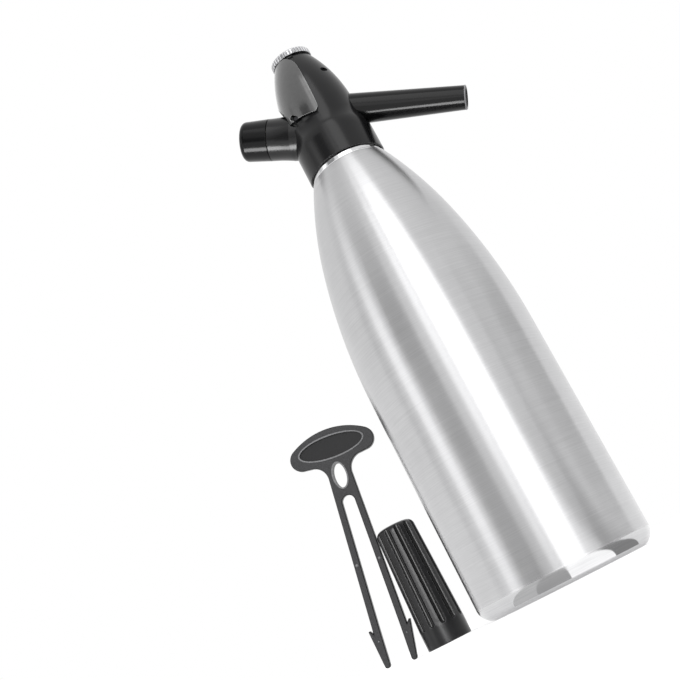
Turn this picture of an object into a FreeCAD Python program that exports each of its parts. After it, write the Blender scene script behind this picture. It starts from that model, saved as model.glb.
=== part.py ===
"""Soda siphon: brushed aluminium bottle, moulded head with squeeze lever, spout and charger port,
with its charger holder standing behind it and its fork key leaning on the holder.
Millimetres, +Z up, origin at the centre of the base, +X towards the spout, -X towards the port."""
import FreeCAD, Part
import math
import os
import re
import Sketcher

Vector = FreeCAD.Vector
UP = Vector(0, 0, 1)
ACROSS = Vector(0, 1, 0)

# Driving sizes.  Heights of the head's pieces are measured up from the bottle's shoulder.
SIZES = [
    # bottle
    ("bottle_radius", 47.5, "outside radius of the straight wall"),
    ("bottle_wall", 1.5, "wall of the bottle"),
    ("base_edge_radius", 8, "rounding round the base"),
    ("base_rest_width", 6, "width of the ring that the bottle stands on"),
    ("base_recess_depth", 3, "depth of the recess under the base"),
    ("straight_height", 126, "height of the straight wall"),
    ("shoulder_height", 250, "height of the top of the shoulder"),
    ("shoulder_bend_drop", 50, "how far below its top the shoulder changes curve"),
    ("shoulder_bend_inset", 8.4, "how far the shoulder has closed in by then"),
    ("neck_radius", 16.5, "outside radius of the bottle's neck"),
    ("neck_length", 16, "neck above the shoulder"),
    ("collar_radius", 18, "outside radius of the threaded collar"),
    ("bead_height", 2.2, "top of the polished bead under the head"),
    ("bead_drop", 1.9, "how far the bead starts below the shoulder's height"),
    ("shoulder_lip", 0.9, "how far the shoulder's edge stands out beyond the bead"),
    # clearances
    ("part_gap", 0.3, "clearance between loose pieces"),
    ("running_gap", 0.05, "clearance of a pin or a sliding stem"),
    ("seam_gap", 0.1, "clearance round a piece that is pushed in for good"),
    ("slot_gap", 0.4, "clearance beside and under the lever's arm, and round its eye"),
    ("thread_bevel", 1, "bevel at the end of a thread"),
    ("seal_groove", 1.4, "width of the grooves that hold ring seals"),
    # head moulding
    ("skirt_radius", 22.5, "outside radius of the skirt"),
    ("skirt_lip", 0.9, "wall of the skirt at its rim"),
    ("skirt_start", 0.2, "height of the rim at its lowest"),
    ("skirt_lip_height", 3.2, "height where the skirt thickens to the thread"),
    ("rim_bevel", 0.5, "bevel round the rim"),
    ("skirt_top", 16, "height where the skirt starts to close in"),
    ("skirt_arch", 1.9, "rise of the rim at the two sides"),
    ("waist_height", 28, "height where the skirt has closed in to the bulb"),
    ("bulb_middle", 34, "height of the widest part of the bulb"),
    ("bulb_radius", 20.6, "radius there"),
    ("bulb_top", 72.5, "height of the flat top of the bulb"),
    ("bulb_top_radius", 10.7, "radius of that flat top"),
    # spout, along its own axis from where it crosses the bottle's
    ("spout_cross", 38.4, "height where the two axes cross"),
    ("spout_slope", 25.5, "slope of the spout below level, degrees"),
    ("spout_reach", 83.6, "length to the tip"),
    ("spout_seat", 17, "length to the seat inside the head"),
    ("spout_root_radius", 8.85, "radius at that seat"),
    ("spout_tip_radius", 6.65, "radius at the tip"),
    ("spout_bore", 3.8, "radius of the bore"),
    ("spout_mouth", 5.2, "radius of the mouth at the tip"),
    ("spout_mouth_depth", 8, "depth of that mouth"),
    ("spout_tail_radius", 6, "radius of the tail inside the head"),
    ("spout_tail_start", 11, "length to the inner end of the tail"),
    ("spout_tip_bevel", 0.4, "bevels at the tip"),
    ("spout_groove_depth", 1.25, "depth of the tail's seal groove"),
    ("spout_seal_wire", 0.6, "radius of the spout seal's section"),
    # charger port, along its own axis likewise
    ("port_cross", 22.9, "height where the two axes cross"),
    ("port_slope", 26.2, "slope of the port above level, degrees"),
    ("port_radius", 11.8, "outside radius of the boss at its face, and of its cap there"),
    ("port_flare", 1, "how much wider the boss is where it meets the bulb"),
    ("port_flare_start", 21, "length to where that flare starts"),
    ("cap_draft", 0.6, "how much narrower the cap is at its end"),
    ("port_face", 34.1, "length to the face of the boss"),
    ("port_socket", 8.5, "radius of the socket for the charger seat"),
    ("port_socket_start", 22, "length to the floor of that socket"),
    ("port_thread_radius", 9.8, "outside radius of the thread that the holder screws on to"),
    ("port_thread_end", 46, "length to the end of that thread"),
    ("port_bore", 4.7, "radius of the hole that takes the neck of a charger"),
    ("port_floor_depth", 2, "length from the boss's face to the floor of that hole"),
    ("pin_body_radius", 1.6, "radius of the piercing pin where it is pressed in"),
    ("pin_needle_radius", 1.1, "radius of the pin beyond that"),
    ("pin_point_radius", 0.6, "radius of the pin's point"),
    ("pin_bore", 0.5, "radius of the passage through the pin"),
    ("pin_reach", 5.5, "length of the pin beyond the floor of the hole"),
    ("pin_taper", 2.5, "length of the pin's tapered end"),
    ("seal_washer_thickness", 1.8, "thickness of the washer round the pin"),
    ("check_radius", 2.2, "radius of the check valve's skirt"),
    ("check_start", 15, "length to the inner end of the check valve's chamber"),
    ("check_lip", 0.9, "radius of the check valve's lips"),
    ("check_length", 3.5, "length of the check valve's lips"),
    ("gas_bore", 1.2, "radius of the gas passages in the head"),
    ("gas_start", 9, "length to the inner end of the slanting gas passage"),
    ("cap_end", 50.7, "length to the end of the cap"),
    ("cap_edge_radius", 3, "rounding of the end of the cap"),
    ("liner_thickness", 1.2, "thickness of the cap's liner"),
    ("cap_bevel", 0.3, "bevel at the mouth of the cap"),
    # lever
    ("pivot_reach", 14.2, "distance of the lever's pin in front of the bottle's axis"),
    ("pivot_height", 54.5, "height of the lever's pin"),
    ("pivot_radius", 1.25, "radius of the lever's pin"),
    ("pivot_pin_length", 15, "length of that pin"),
    ("eye_radius", 2.3, "radius of the eye round the pin"),
    ("lever_travel", 5, "turn of the lever, degrees"),
    ("hood_gap", 0.4, "clearance between the hood and the bulb"),
    ("hood_shift", 0.8, "how far the hood's own axis lies in front of the bottle's"),
    ("hood_wall", 0.9, "wall of the hood"),
    ("hood_bottom", 29.7, "height of the hood's lower edge at its front corner"),
    ("hood_edge", 2.3, "where the front edge of the hood lies, in front of the bottle's axis"),
    ("hood_corner", 3.4, "rounding of the hood's lower front corner"),
    ("hood_side_length", 28.9, "length of the hood's front edge above that corner"),
    ("hood_side_radius", 250, "curve of that edge"),
    ("hood_shoulder_back", 5.2, "how far the edge runs back by the top of the hood"),
    ("hood_shoulder_radius", 15, "curve of the edge there"),
    ("hood_top_drop", 0.8, "how far below the bulb's top that curve ends"),
    ("hood_rake", 0.26, "rise of the hood's lower edge towards the back, per length"),
    ("ledge_drop", 1.7, "how far below the hood the bulb is cut back"),
    ("arm_width", 8, "width of the lever's arm"),
    ("arm_depth", 5, "depth of the lever's arm"),
    ("arm_height", 53, "height of the arm's underside at rest"),
    ("arm_bend", 4, "distance in front of the bottle's axis where the arm turns up to its eye"),
    ("slot_headroom", 0.6, "room above the arm"),
    ("slot_floor", 48.9, "height of the floor of the arm's slot"),
    ("stop_pin_radius", 1, "radius of the two stop pins"),
    ("stop_pin_back", 12, "distance of the stop pins behind the bottle's axis"),
    ("stop_pin_height", 33.3, "height of the stop pins"),
    ("stop_pin_inner", 11.6, "distance of the pins' inner ends from the middle"),
    ("stop_pin_inset", 2.8, "how far inside the bulb's radius their outer ends lie"),
    # valve
    ("stem_radius", 1.5, "radius of the valve stem"),
    ("seat_bore", 2.6, "radius of the hole in the valve seat"),
    ("seat_height", 32.65, "height of the underside of the valve seat"),
    ("seat_thickness", 2, "thickness of the valve seat"),
    ("valve_bore", 5.5, "radius of the bore that holds the valve"),
    ("poppet_radius", 3.6, "radius of the poppet on the stem"),
    ("poppet_thickness", 1.5, "thickness of the poppet under its washer"),
    ("poppet_room", 1, "room round the poppet"),
    ("washer_thickness", 1.6, "thickness of the poppet's washer"),
    ("stem_drop", 0.15, "clearance between the stem's top and the arm"),
    ("stem_proud", 0.45, "how far the stem stands out of its cup"),
    ("stem_point_bevel", 0.6, "bevel of the stem's top"),
    ("stem_point_height", 0.4, "height of that bevel"),
    ("bush_height", 41.5, "height of the underside of the stem's bush"),
    ("bush_length", 5, "length of that bush"),
    ("stem_groove_depth", 1.3, "depth of the bush's seal groove"),
    ("stem_seal_wire", 0.6, "radius of the stem seal's section"),
    ("cup_radius", 3.4, "radius of the spring cup on the stem"),
    ("cup_thickness", 1.5, "thickness of the spring cup"),
    ("spring_wire", 0.35, "radius of the spring's wire"),
    ("spring_turns", 3, "turns of the spring"),
    # riser tube and its holder
    ("tube_radius", 4, "outside radius of the riser tube"),
    ("tube_wall", 1, "wall of the riser tube"),
    ("tube_start", 9, "height of the tube's lower end above the table"),
    ("tube_cut", 25, "slant of the tube's lower end, degrees"),
    ("tube_socket_wall", 2, "wall of the holder's socket for the tube"),
    ("tube_socket_depth", 12, "depth of that socket's lower end below the neck's rim"),
    ("tube_stop_depth", 2, "depth of the tube's upper end below the neck's rim"),
    ("gasket_thickness", 1.5, "thickness of the head gasket"),
    ("flange_thickness", 1.5, "thickness of the tube holder's flange"),
    ("flange_inset", 0.2, "how much narrower than the collar gasket and flange are"),
    ("spigot_radius", 5, "radius of the tube holder's spigot"),
    ("spigot_length", 5, "length of that spigot"),
    ("tube_groove_depth", 1.1, "depth of the spigot's seal groove"),
    ("tube_seal_wire", 0.66, "radius of the tube seal's section"),
    ("gas_hole_radius", 1.6, "radius of each gas hole in the flange"),
    ("gas_hole_circle", 9.5, "radius of the circle of gas holes"),
    # top cap
    ("top_cap_radius", 12, "radius of the fluted cap"),
    ("top_cap_height", 3.4, "height of the fluted cap"),
    ("top_cap_round", 0.8, "rounding of the cap's upper edge"),
    ("top_cap_bevel", 0.4, "bevel of its lower edge, and depth of the dish in its top"),
    ("top_cap_land", 2, "width of the ring round that dish"),
    ("plug_radius", 6.3, "radius of the plug under it"),
    ("plug_length", 10.5, "length of that plug"),
    ("flute_count", 40, "flutes round the cap"),
    ("flute_radius", 0.6, "radius of each flute"),
    ("flute_offset", 0.25, "how far outside the cap the flutes are centred"),
    # charger holder, standing on its mouth
    ("holder_length", 72.6, "overall length"),
    ("holder_mouth_radius", 13.5, "outside radius at the mouth"),
    ("holder_end_radius", 11.75, "outside radius at the closed end"),
    ("holder_collar", 10.6, "length of the plain collar at the mouth"),
    ("holder_bore", 9.4, "radius of the space for the charger"),
    ("holder_thread_radius", 10.1, "radius of the thread in the mouth"),
    ("holder_thread_length", 13, "depth of that thread"),
    ("holder_depth", 66, "depth of the whole bore"),
    ("holder_rounding", 4, "rounding of the closed end"),
    ("holder_rim_bevel", 0.5, "bevels round the mouth"),
    ("pad_thickness", 2, "thickness of the pad at the bottom of the bore"),
    ("pad_step", 0.4, "how much narrower the bore is where it holds the pad"),
    ("holder_flutes", 12, "flutes round the holder"),
    ("holder_flute_radius", 2.1, "radius of each flute"),
    ("holder_place_x", -77, "where the holder stands"),
    ("holder_place_y", 75, "where the holder and the key stand"),
    # fork key
    ("key_length", 142, "overall length"),
    ("key_thickness", 4, "thickness"),
    ("key_lean", 8, "lean towards the holder, degrees"),
    ("key_handle_width", 53, "width of the handle"),
    ("key_handle_round", 7, "rounding of the handle's two ends"),
    ("key_handle_height", 129.4, "height of the middle of those ends"),
    ("key_neck_width", 14.6, "width of the neck under the handle"),
    ("key_neck_height", 113, "height of the neck"),
    ("key_neck_round", 9, "hollow between neck and handle"),
    ("key_crotch", 100.5, "height of the top of the gap between the prongs"),
    ("key_crotch_width", 7.9, "width of the gap there"),
    ("key_barb_height", 20.5, "height of the two barbs"),
    ("key_barb_hook", 1.6, "how far the barbs hook upwards"),
    ("key_barb_flat", 1.2, "width of the end of each hook"),
    ("key_barb_round", 0.65, "rounding of that end"),
    ("key_barb_gap", 12.2, "width of the gap between the prongs there"),
    ("key_barb_width", 25.5, "width over the barbs"),
    ("key_prong_width", 4.2, "width of each prong"),
    ("key_tip_spread", 16.2, "spacing of the tips"),
    ("key_tip_radius", 1.7, "rounding of each tip"),
    ("key_panel_length", 40, "length of the sunk panel on each face of the handle"),
    ("key_panel_height", 12.6, "height of that panel"),
    ("key_panel_depth", 0.8, "how deep it is sunk"),
    ("key_panel_middle", 131, "height of its middle"),
    ("key_eye_width", 7.8, "width of the oval hole"),
    ("key_eye_length", 15, "length of that hole"),
    ("key_rim_width", 0.9, "width of the raised rims round panel and hole"),
    ("key_rim_height", 0.3, "height of those rims"),
    ("key_bevel", 0.5, "bevel along the key's edges"),
]

doc = FreeCAD.newDocument("soda_siphon")
sizes = doc.addObject("Spreadsheet::Sheet", "Sizes")
for row, (alias, value, note) in enumerate(SIZES, start=1):
    sizes.set(f"A{row}", note)
    sizes.set(f"B{row}", str(value))
    sizes.setAlias(f"B{row}", alias)
doc.recompute()

ALIASES = {alias for alias, _, _ in SIZES}


def bound(formula):
    """The formula with each size's name turned into its address in the sheet."""
    return re.sub(r"[a-z]\w*", lambda word: ("Sizes." if word[0] in ALIASES else "") + word[0], formula)


def number(formula):
    """The value that a formula of the sizes has now."""
    return float(sizes.evalExpression(formula))


# --- helpers -------------------------------------------------------------------------------------

PARTS = []


def keep(item, label):
    """Names an object as one of the finished pieces."""
    item.Label = label
    PARTS.append(item)
    return item


def new_body(name):
    return doc.addObject("PartDesign::Body", name)


def plane_sketch(body, name, role="XZ_Plane"):
    """A sketch on one of the body's own origin planes."""
    sketch = body.newObject("Sketcher::SketchObject", name)
    plane = next(feature for feature in body.Origin.OriginFeatures if feature.Role == role)
    sketch.AttachmentSupport = [(plane, "")]
    sketch.MapMode = "FlatFace"
    return sketch


def pin_point(sketch, geometry, end, x, y):
    """Ties one point of a sketch to two formulas, measured from the sketch's origin."""
    for kind, formula, axis in (("DistanceX", x, -2), ("DistanceY", y, -1)):
        if formula == "0":
            sketch.addConstraint(Sketcher.Constraint("PointOnObject", geometry, end, axis))
        else:
            index = sketch.addConstraint(
                Sketcher.Constraint(kind, -1, 1, geometry, end, number(formula)))
            sketch.setExpression(f"Constraints[{index}]", bound(formula))


def arc_centre(start, end, radius, turn):
    """Centre of the arc between two points; turn is 1 when it runs anticlockwise, -1 clockwise."""
    chord = end - start
    half = chord.Length / 2
    rise = math.sqrt(max(radius * radius - half * half, 0))
    side = Vector(-chord.y, chord.x, 0).normalize()
    return start + chord * 0.5 + side * (rise * turn)


def tangent_centre(start, end, direction):
    """Centre of the arc that leaves start along direction and reaches end, and its turn."""
    side = Vector(-direction.y, direction.x, 0)
    chord = end - start
    reach = chord.dot(chord) / (2 * chord.dot(side))
    return start + side * reach, (1 if reach > 0 else -1)


def outline(sketch, *steps):
    """Draws one closed outline.  Each step is the point that an edge ends at, as two formulas, and
    for an arc also its radius and turn, or "smooth" where the arc follows on from the edge before.
    The first step gives the starting point."""
    points = [Vector(number(step[0]), number(step[1]), 0) for step in steps]
    direction = None
    ends = []
    for index, step in enumerate(steps[1:] + (steps[0][:2],), start=1):
        start, end = points[index - 1], points[index % len(points)]
        if len(step) == 2:
            geometry = sketch.addGeometry(Part.LineSegment(start, end))
            first, last = 1, 2
            direction = (end - start).normalize()
        else:
            if step[2] == "smooth":
                centre, turn = tangent_centre(start, end, direction)
            else:
                turn = step[3]
                centre = arc_centre(start, end, number(step[2]), turn)
            a, b = start - centre, end - centre
            angles = [math.atan2(a.y, a.x), math.atan2(b.y, b.x)][::turn]
            circle = Part.Circle(centre, UP, a.Length)
            geometry = sketch.addGeometry(Part.ArcOfCircle(circle, *angles))
            first, last = (1, 2) if turn > 0 else (2, 1)
            direction = (Vector(-b.y, b.x, 0) * turn).normalize()
            if step[2] == "smooth":
                before = ends[-1]
                sketch.addConstraint(
                    Sketcher.Constraint("Tangent", before[0], before[2], geometry, first))
            else:
                number_of = sketch.addConstraint(
                    Sketcher.Constraint("Radius", geometry, number(step[2])))
                sketch.setExpression(f"Constraints[{number_of}]", bound(step[2]))
        if ends and (len(step) == 2 or step[2] != "smooth"):
            sketch.addConstraint(
                Sketcher.Constraint("Coincident", ends[-1][0], ends[-1][2], geometry, first))
        ends.append((geometry, first, last))
    sketch.addConstraint(Sketcher.Constraint("Coincident", ends[-1][0], ends[-1][2], ends[0][0], ends[0][1]))
    for (geometry, first, _), step in zip(ends, steps):
        pin_point(sketch, geometry, first, step[0], step[1])


def disc(sketch, x, y, radius):
    """Draws one circle."""
    centre = Vector(number(x), number(y), 0)
    geometry = sketch.addGeometry(Part.Circle(centre, UP, number(radius)))
    index = sketch.addConstraint(Sketcher.Constraint("Radius", geometry, number(radius)))
    sketch.setExpression(f"Constraints[{index}]", bound(radius))
    pin_point(sketch, geometry, 3, x, y)
    return geometry


def turn_profile(body, name, *steps, kind="PartDesign::Revolution"):
    """Turns an outline, drawn as radius and height, about the body's upright axis."""
    sketch = plane_sketch(body, name + "_profile")
    outline(sketch, *steps)
    feature = body.newObject(kind, name)
    feature.Profile = sketch
    feature.ReferenceAxis = (sketch, ["V_Axis"])
    feature.Angle = 360
    body.Tip = feature
    return feature


def turned(name, *steps):
    """A body with one turned outline."""
    body = new_body(name)
    turn_profile(body, name + "_turning", *steps)
    return body


def slab(name, width, *steps, role="XZ_Plane"):
    """A body with one outline, extruded evenly to both sides of its plane."""
    body = new_body(name)
    sketch = plane_sketch(body, name + "_outline", role)
    outline(sketch, *steps)
    pad = body.newObject("PartDesign::Pad", name + "_pad")
    pad.Profile = sketch
    pad.Length = number(width)
    pad.setExpression("Length", bound(width))
    pad.Midplane = True
    body.Tip = pad
    return body


def rod(name, radius, length, base="0"):
    """An upright cylinder from base, along its own axis."""
    cylinder = doc.addObject("Part::Cylinder", name)
    cylinder.setExpression("Radius", bound(radius))
    cylinder.setExpression("Height", bound(length))
    cylinder.setExpression("Placement.Base.z", bound(base))
    return cylinder


def block(name, low, high):
    """A box between two corners, each given as three formulas."""
    box = doc.addObject("Part::Box", name)
    for side, a, b, letter in zip(("Length", "Width", "Height"), low, high, "xyz"):
        box.setExpression(side, bound(f"({b}) - ({a})"))
        box.setExpression("Placement.Base." + letter, bound(a))
    return box


def cross_rod(name, radius, length, x, z):
    """A cylinder lying across the head, centred on the bottle's axis."""
    cylinder = doc.addObject("Part::Cylinder", name)
    cylinder.setExpression("Radius", bound(radius))
    cylinder.setExpression("Height", bound(length))
    cylinder.Placement.Rotation = FreeCAD.Rotation(Vector(1, 0, 0), -90)
    cylinder.setExpression("Placement.Base.x", bound(x))
    cylinder.setExpression("Placement.Base.y", bound(f"-({length}) / 2"))
    cylinder.setExpression("Placement.Base.z", bound(z))
    return cylinder


def joined(name, *items):
    fuse = doc.addObject("Part::MultiFuse", name)
    fuse.Shapes = list(items)
    return fuse


def shared(name, *items):
    common = doc.addObject("Part::MultiCommon", name)
    common.Shapes = list(items)
    return common


def cut(name, base, *tools):
    """The base with every tool taken out of it."""
    result = base
    for index, tool in enumerate(tools):
        step = doc.addObject("Part::Cut", name if index == len(tools) - 1 else f"{name}_cut_{index}")
        step.Base = result
        step.Tool = tool
        result = step
    return result


def on_port(item, start="0"):
    """Lays an upright piece along the charger port's axis, start away from the crossing."""
    item.Placement.Rotation = FreeCAD.Rotation(-ACROSS, 45)
    item.setExpression("Placement.Rotation.Angle", bound("90 - port_slope"))
    item.setExpression("Placement.Base.x", bound(f"-({start}) * cos(port_slope)"))
    item.setExpression("Placement.Base.z",
                       bound(f"shoulder_height + port_cross + ({start}) * sin(port_slope)"))
    return item


def on_spout(item, start="0"):
    """Lays an upright piece along the spout's axis, start away from the crossing."""
    item.Placement.Rotation = FreeCAD.Rotation(ACROSS, 45)
    item.setExpression("Placement.Rotation.Angle", bound("spout_slope + 90"))
    item.setExpression("Placement.Base.x", bound(f"({start}) * cos(spout_slope)"))
    item.setExpression("Placement.Base.z",
                       bound(f"shoulder_height + spout_cross - ({start}) * sin(spout_slope)"))
    return item


def on_shoulder(item):
    """Lifts a finished piece of the head from the head's own zero on to the bottle's shoulder."""
    item.setExpression("Placement.Base.z", bound("shoulder_height"))
    return item


# --- bottle --------------------------------------------------------------------------------------

BEAD_RADIUS = "skirt_radius - skirt_lip - part_gap"
SHOULDER_EDGE = BEAD_RADIUS + " + shoulder_lip"
SHOULDER_TOP = "shoulder_height - bead_drop"

bottle = new_body("bottle_shell")
turn_profile(
    bottle, "bottle_outside",
    ("0", "base_recess_depth"),
    ("bottle_radius - base_edge_radius - base_rest_width - base_recess_depth", "base_recess_depth"),
    ("bottle_radius - base_edge_radius - base_rest_width", "0"),
    ("bottle_radius - base_edge_radius", "0"),
    ("bottle_radius", "base_edge_radius", "base_edge_radius", 1),
    ("bottle_radius", "straight_height"),
    ("bottle_radius - shoulder_bend_inset", "shoulder_height - shoulder_bend_drop", "smooth"),
    (SHOULDER_EDGE, SHOULDER_TOP, "smooth"),
    ("neck_radius", SHOULDER_TOP),
    ("neck_radius", "shoulder_height + neck_length"),
    ("0", "shoulder_height + neck_length"),
)
turn_profile(
    bottle, "bottle_inside",
    ("0", "base_recess_depth + bottle_wall"),
    ("bottle_radius - base_edge_radius - base_rest_width - base_recess_depth + bottle_wall / 2",
     "base_recess_depth + bottle_wall"),
    ("bottle_radius - base_edge_radius - base_rest_width + bottle_wall / 2", "bottle_wall"),
    ("bottle_radius - base_edge_radius", "bottle_wall"),
    ("bottle_radius - bottle_wall", "base_edge_radius", "base_edge_radius - bottle_wall", 1),
    ("bottle_radius - bottle_wall", "straight_height"),
    ("bottle_radius - shoulder_bend_inset - bottle_wall", "shoulder_height - shoulder_bend_drop",
     "smooth"),
    (SHOULDER_EDGE + " - bottle_wall", SHOULDER_TOP + " - bottle_wall", "smooth"),
    ("neck_radius - bottle_wall", SHOULDER_TOP + " - bottle_wall"),
    ("neck_radius - bottle_wall", "shoulder_height + neck_length + bottle_wall"),
    ("0", "shoulder_height + neck_length + bottle_wall"),
    kind="PartDesign::Groove",
)
keep(bottle, "bottle_shell")

# The collar carries the thread for the head, above a polished bead that shows under the skirt.
BEAD_ROUND = "(bead_height + bead_drop) / 3"
collar = on_shoulder(turned(
    "neck_collar",
    ("neck_radius", "-bead_drop"),
    (f"{BEAD_RADIUS} - {BEAD_ROUND}", "-bead_drop"),
    (BEAD_RADIUS, f"{BEAD_ROUND} - bead_drop", BEAD_ROUND, 1),
    (BEAD_RADIUS, f"bead_height - {BEAD_ROUND}"),
    (f"{BEAD_RADIUS} - {BEAD_ROUND}", "bead_height", BEAD_ROUND, 1),
    ("collar_radius", "bead_height"),
    ("collar_radius", "neck_length - thread_bevel"),
    ("collar_radius - thread_bevel", "neck_length"),
    ("neck_radius", "neck_length"),
))
keep(collar, "neck_collar")

# --- riser tube and its holder, clamped between the neck and the head ------------------------------

FLANGE_BASE = "neck_length + gasket_thickness"
FLANGE_TOP = FLANGE_BASE + " + flange_thickness"
SPIGOT_TOP = FLANGE_TOP + " + spigot_length"
TUBE_TOP = "neck_length - tube_stop_depth"
HOLDER_BASE = "neck_length - tube_socket_depth"
SEAL_HEIGHT = FLANGE_TOP + " + spigot_length / 2"

keep(on_shoulder(turned(
    "head_gasket",
    ("neck_radius - bottle_wall", "neck_length"),
    ("collar_radius - flange_inset", "neck_length"),
    ("collar_radius - flange_inset", FLANGE_BASE),
    ("neck_radius - bottle_wall", FLANGE_BASE),
)), "head_gasket")

holder = turned(
    "tube_holder",
    ("tube_radius", HOLDER_BASE),
    ("tube_radius + tube_socket_wall", HOLDER_BASE),
    ("tube_radius + tube_socket_wall", FLANGE_BASE),
    ("collar_radius - flange_inset", FLANGE_BASE),
    ("collar_radius - flange_inset", FLANGE_TOP),
    ("spigot_radius", FLANGE_TOP),
    ("spigot_radius", SEAL_HEIGHT + " - seal_groove / 2"),
    ("spigot_radius - tube_groove_depth", SEAL_HEIGHT + " - seal_groove / 2"),
    ("spigot_radius - tube_groove_depth", SEAL_HEIGHT + " + seal_groove / 2"),
    ("spigot_radius", SEAL_HEIGHT + " + seal_groove / 2"),
    ("spigot_radius", SPIGOT_TOP),
    ("tube_radius - tube_wall", SPIGOT_TOP),
    ("tube_radius - tube_wall", TUBE_TOP),
    ("tube_radius", TUBE_TOP),
)
hole_sketch = plane_sketch(holder, "gas_hole_place", "XY_Plane")
disc(hole_sketch, "gas_hole_circle", "0", "gas_hole_radius")
gas_hole = holder.newObject("PartDesign::Pocket", "gas_hole")
gas_hole.Profile = hole_sketch
gas_hole.Type = "ThroughAll"
gas_hole.Reversed = True
gas_holes = holder.newObject("PartDesign::PolarPattern", "gas_holes")
gas_holes.Originals = [gas_hole]
gas_holes.Axis = (hole_sketch, ["N_Axis"])
gas_holes.Angle = 360
gas_holes.Occurrences = 4
holder.Tip = gas_holes
keep(on_shoulder(holder), "tube_holder")

tube_outside = rod("tube_outside", "tube_radius", f"shoulder_height + {TUBE_TOP} - tube_start",
                   "tube_start")
tube_inside = rod("tube_inside", "tube_radius - tube_wall", f"shoulder_height + {TUBE_TOP}")
tube_slant = block("tube_slant", ("-4 * tube_radius", "-2 * tube_radius", "0"),
                   ("4 * tube_radius", "2 * tube_radius", "4 * tube_radius"))
tube_slant.Placement.Rotation = FreeCAD.Rotation(ACROSS, 25)
tube_slant.setExpression("Placement.Rotation.Angle", bound("tube_cut"))
tube_slant.setExpression("Placement.Base.z", bound("tube_start - 2 * tube_radius"))
keep(cut("riser_tube", tube_outside, tube_inside, tube_slant), "riser_tube")

tube_seal = doc.addObject("Part::Torus", "tube_seal")
tube_seal.setExpression("Radius1", bound("spigot_radius + part_gap - running_gap - tube_seal_wire"))
tube_seal.setExpression("Radius2", bound("tube_seal_wire"))
tube_seal.setExpression("Placement.Base.z", bound(f"shoulder_height + {SEAL_HEIGHT}"))
keep(tube_seal, "tube_seal")

# --- head moulding ---------------------------------------------------------------------------------

HEAD_CEILING = FLANGE_TOP + " + seam_gap"
BULB_INSET = "(bulb_radius - bulb_top_radius)"
BULB_ARC = f"(({BULB_INSET}^2 + (bulb_top - bulb_middle)^2) / (2 * {BULB_INSET}))"
SLOT_TOP = "arm_height + arm_depth + slot_headroom"


def bulb_at(height, outside):
    """Radius at a height of a surface that lies a set distance outside the bulb."""
    return f"bulb_radius - {BULB_ARC} + sqrt(({BULB_ARC} + {outside})^2 - ({height} - bulb_middle)^2)"


housing_outside = on_shoulder(turned(
    "housing_outside",
    ("0", "skirt_start"),
    ("skirt_radius - rim_bevel", "skirt_start"),
    ("skirt_radius", "skirt_start + rim_bevel"),
    ("skirt_radius", "skirt_top"),
    ("(skirt_radius + bulb_radius) / 2", "(skirt_top + waist_height) / 2", "smooth"),
    ("bulb_radius", "waist_height", "smooth"),
    ("bulb_radius", "bulb_middle"),
    ("bulb_top_radius", "bulb_top", "smooth"),
    ("0", "bulb_top"),
))

# The boss that the charger seat is set into.
FLARE_RUN = "(port_face - port_flare_start)"
FLARE_ARC = f"({FLARE_RUN}^2 + port_flare^2) / (2 * port_flare)"
port_boss = on_port(turned(
    "port_boss",
    ("0", "port_flare_start / 2"),
    ("port_radius + port_flare", "port_flare_start / 2"),
    ("port_radius + port_flare", "port_flare_start"),
    ("port_radius", "port_face", FLARE_ARC, -1),
    ("0", "port_face"),
))
housing_solid = joined("housing_solid", housing_outside, port_boss)

# The rim is arched: highest at the two sides, lowest below the spout and the port.
ARCH_RADIUS = "skirt_radius^2 / (2 * skirt_arch)"
rim_block = block(
    "rim_block", ("-2 * skirt_radius", "-2 * skirt_radius", "shoulder_height - 3 * skirt_arch"),
    ("2 * skirt_radius", "2 * skirt_radius", "shoulder_height + skirt_start + 1.5 * skirt_arch"))
arch_drum = doc.addObject("Part::Cylinder", "arch_drum")
arch_drum.setExpression("Radius", bound(ARCH_RADIUS))
arch_drum.setExpression("Height", bound("6 * skirt_radius"))
arch_drum.Placement.Rotation = FreeCAD.Rotation(ACROSS, 90)
arch_drum.setExpression("Placement.Base.x", bound("-3 * skirt_radius"))
arch_drum.setExpression("Placement.Base.z", bound(f"shoulder_height + skirt_start + {ARCH_RADIUS}"))
rim_arch = cut("rim_arch", rim_block, arch_drum)

neck_room = on_shoulder(turned(
    "neck_room",
    ("0", "-2 * skirt_arch"),
    ("skirt_radius - skirt_lip", "-2 * skirt_arch"),
    ("skirt_radius - skirt_lip", "skirt_lip_height"),
    ("collar_radius + part_gap", "skirt_lip_height + thread_bevel"),
    ("collar_radius + part_gap", HEAD_CEILING),
    ("0", HEAD_CEILING),
))

# The valve's stepped bore, from the riser tube's spigot up to the screw plug.
valve_room = on_shoulder(turned(
    "valve_room",
    ("0", HEAD_CEILING + " - flange_thickness"),
    ("spigot_radius + part_gap", HEAD_CEILING + " - flange_thickness"),
    ("spigot_radius + part_gap", SPIGOT_TOP + " + part_gap"),
    ("poppet_radius + poppet_room", SPIGOT_TOP + " + part_gap"),
    ("poppet_radius + poppet_room", "seat_height"),
    ("valve_bore", "seat_height"),
    ("valve_bore", SLOT_TOP),
    ("plug_radius + part_gap", SLOT_TOP),
    ("plug_radius + part_gap", "bulb_top + 2 * part_gap"),
    ("0", "bulb_top + 2 * part_gap"),
))

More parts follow.
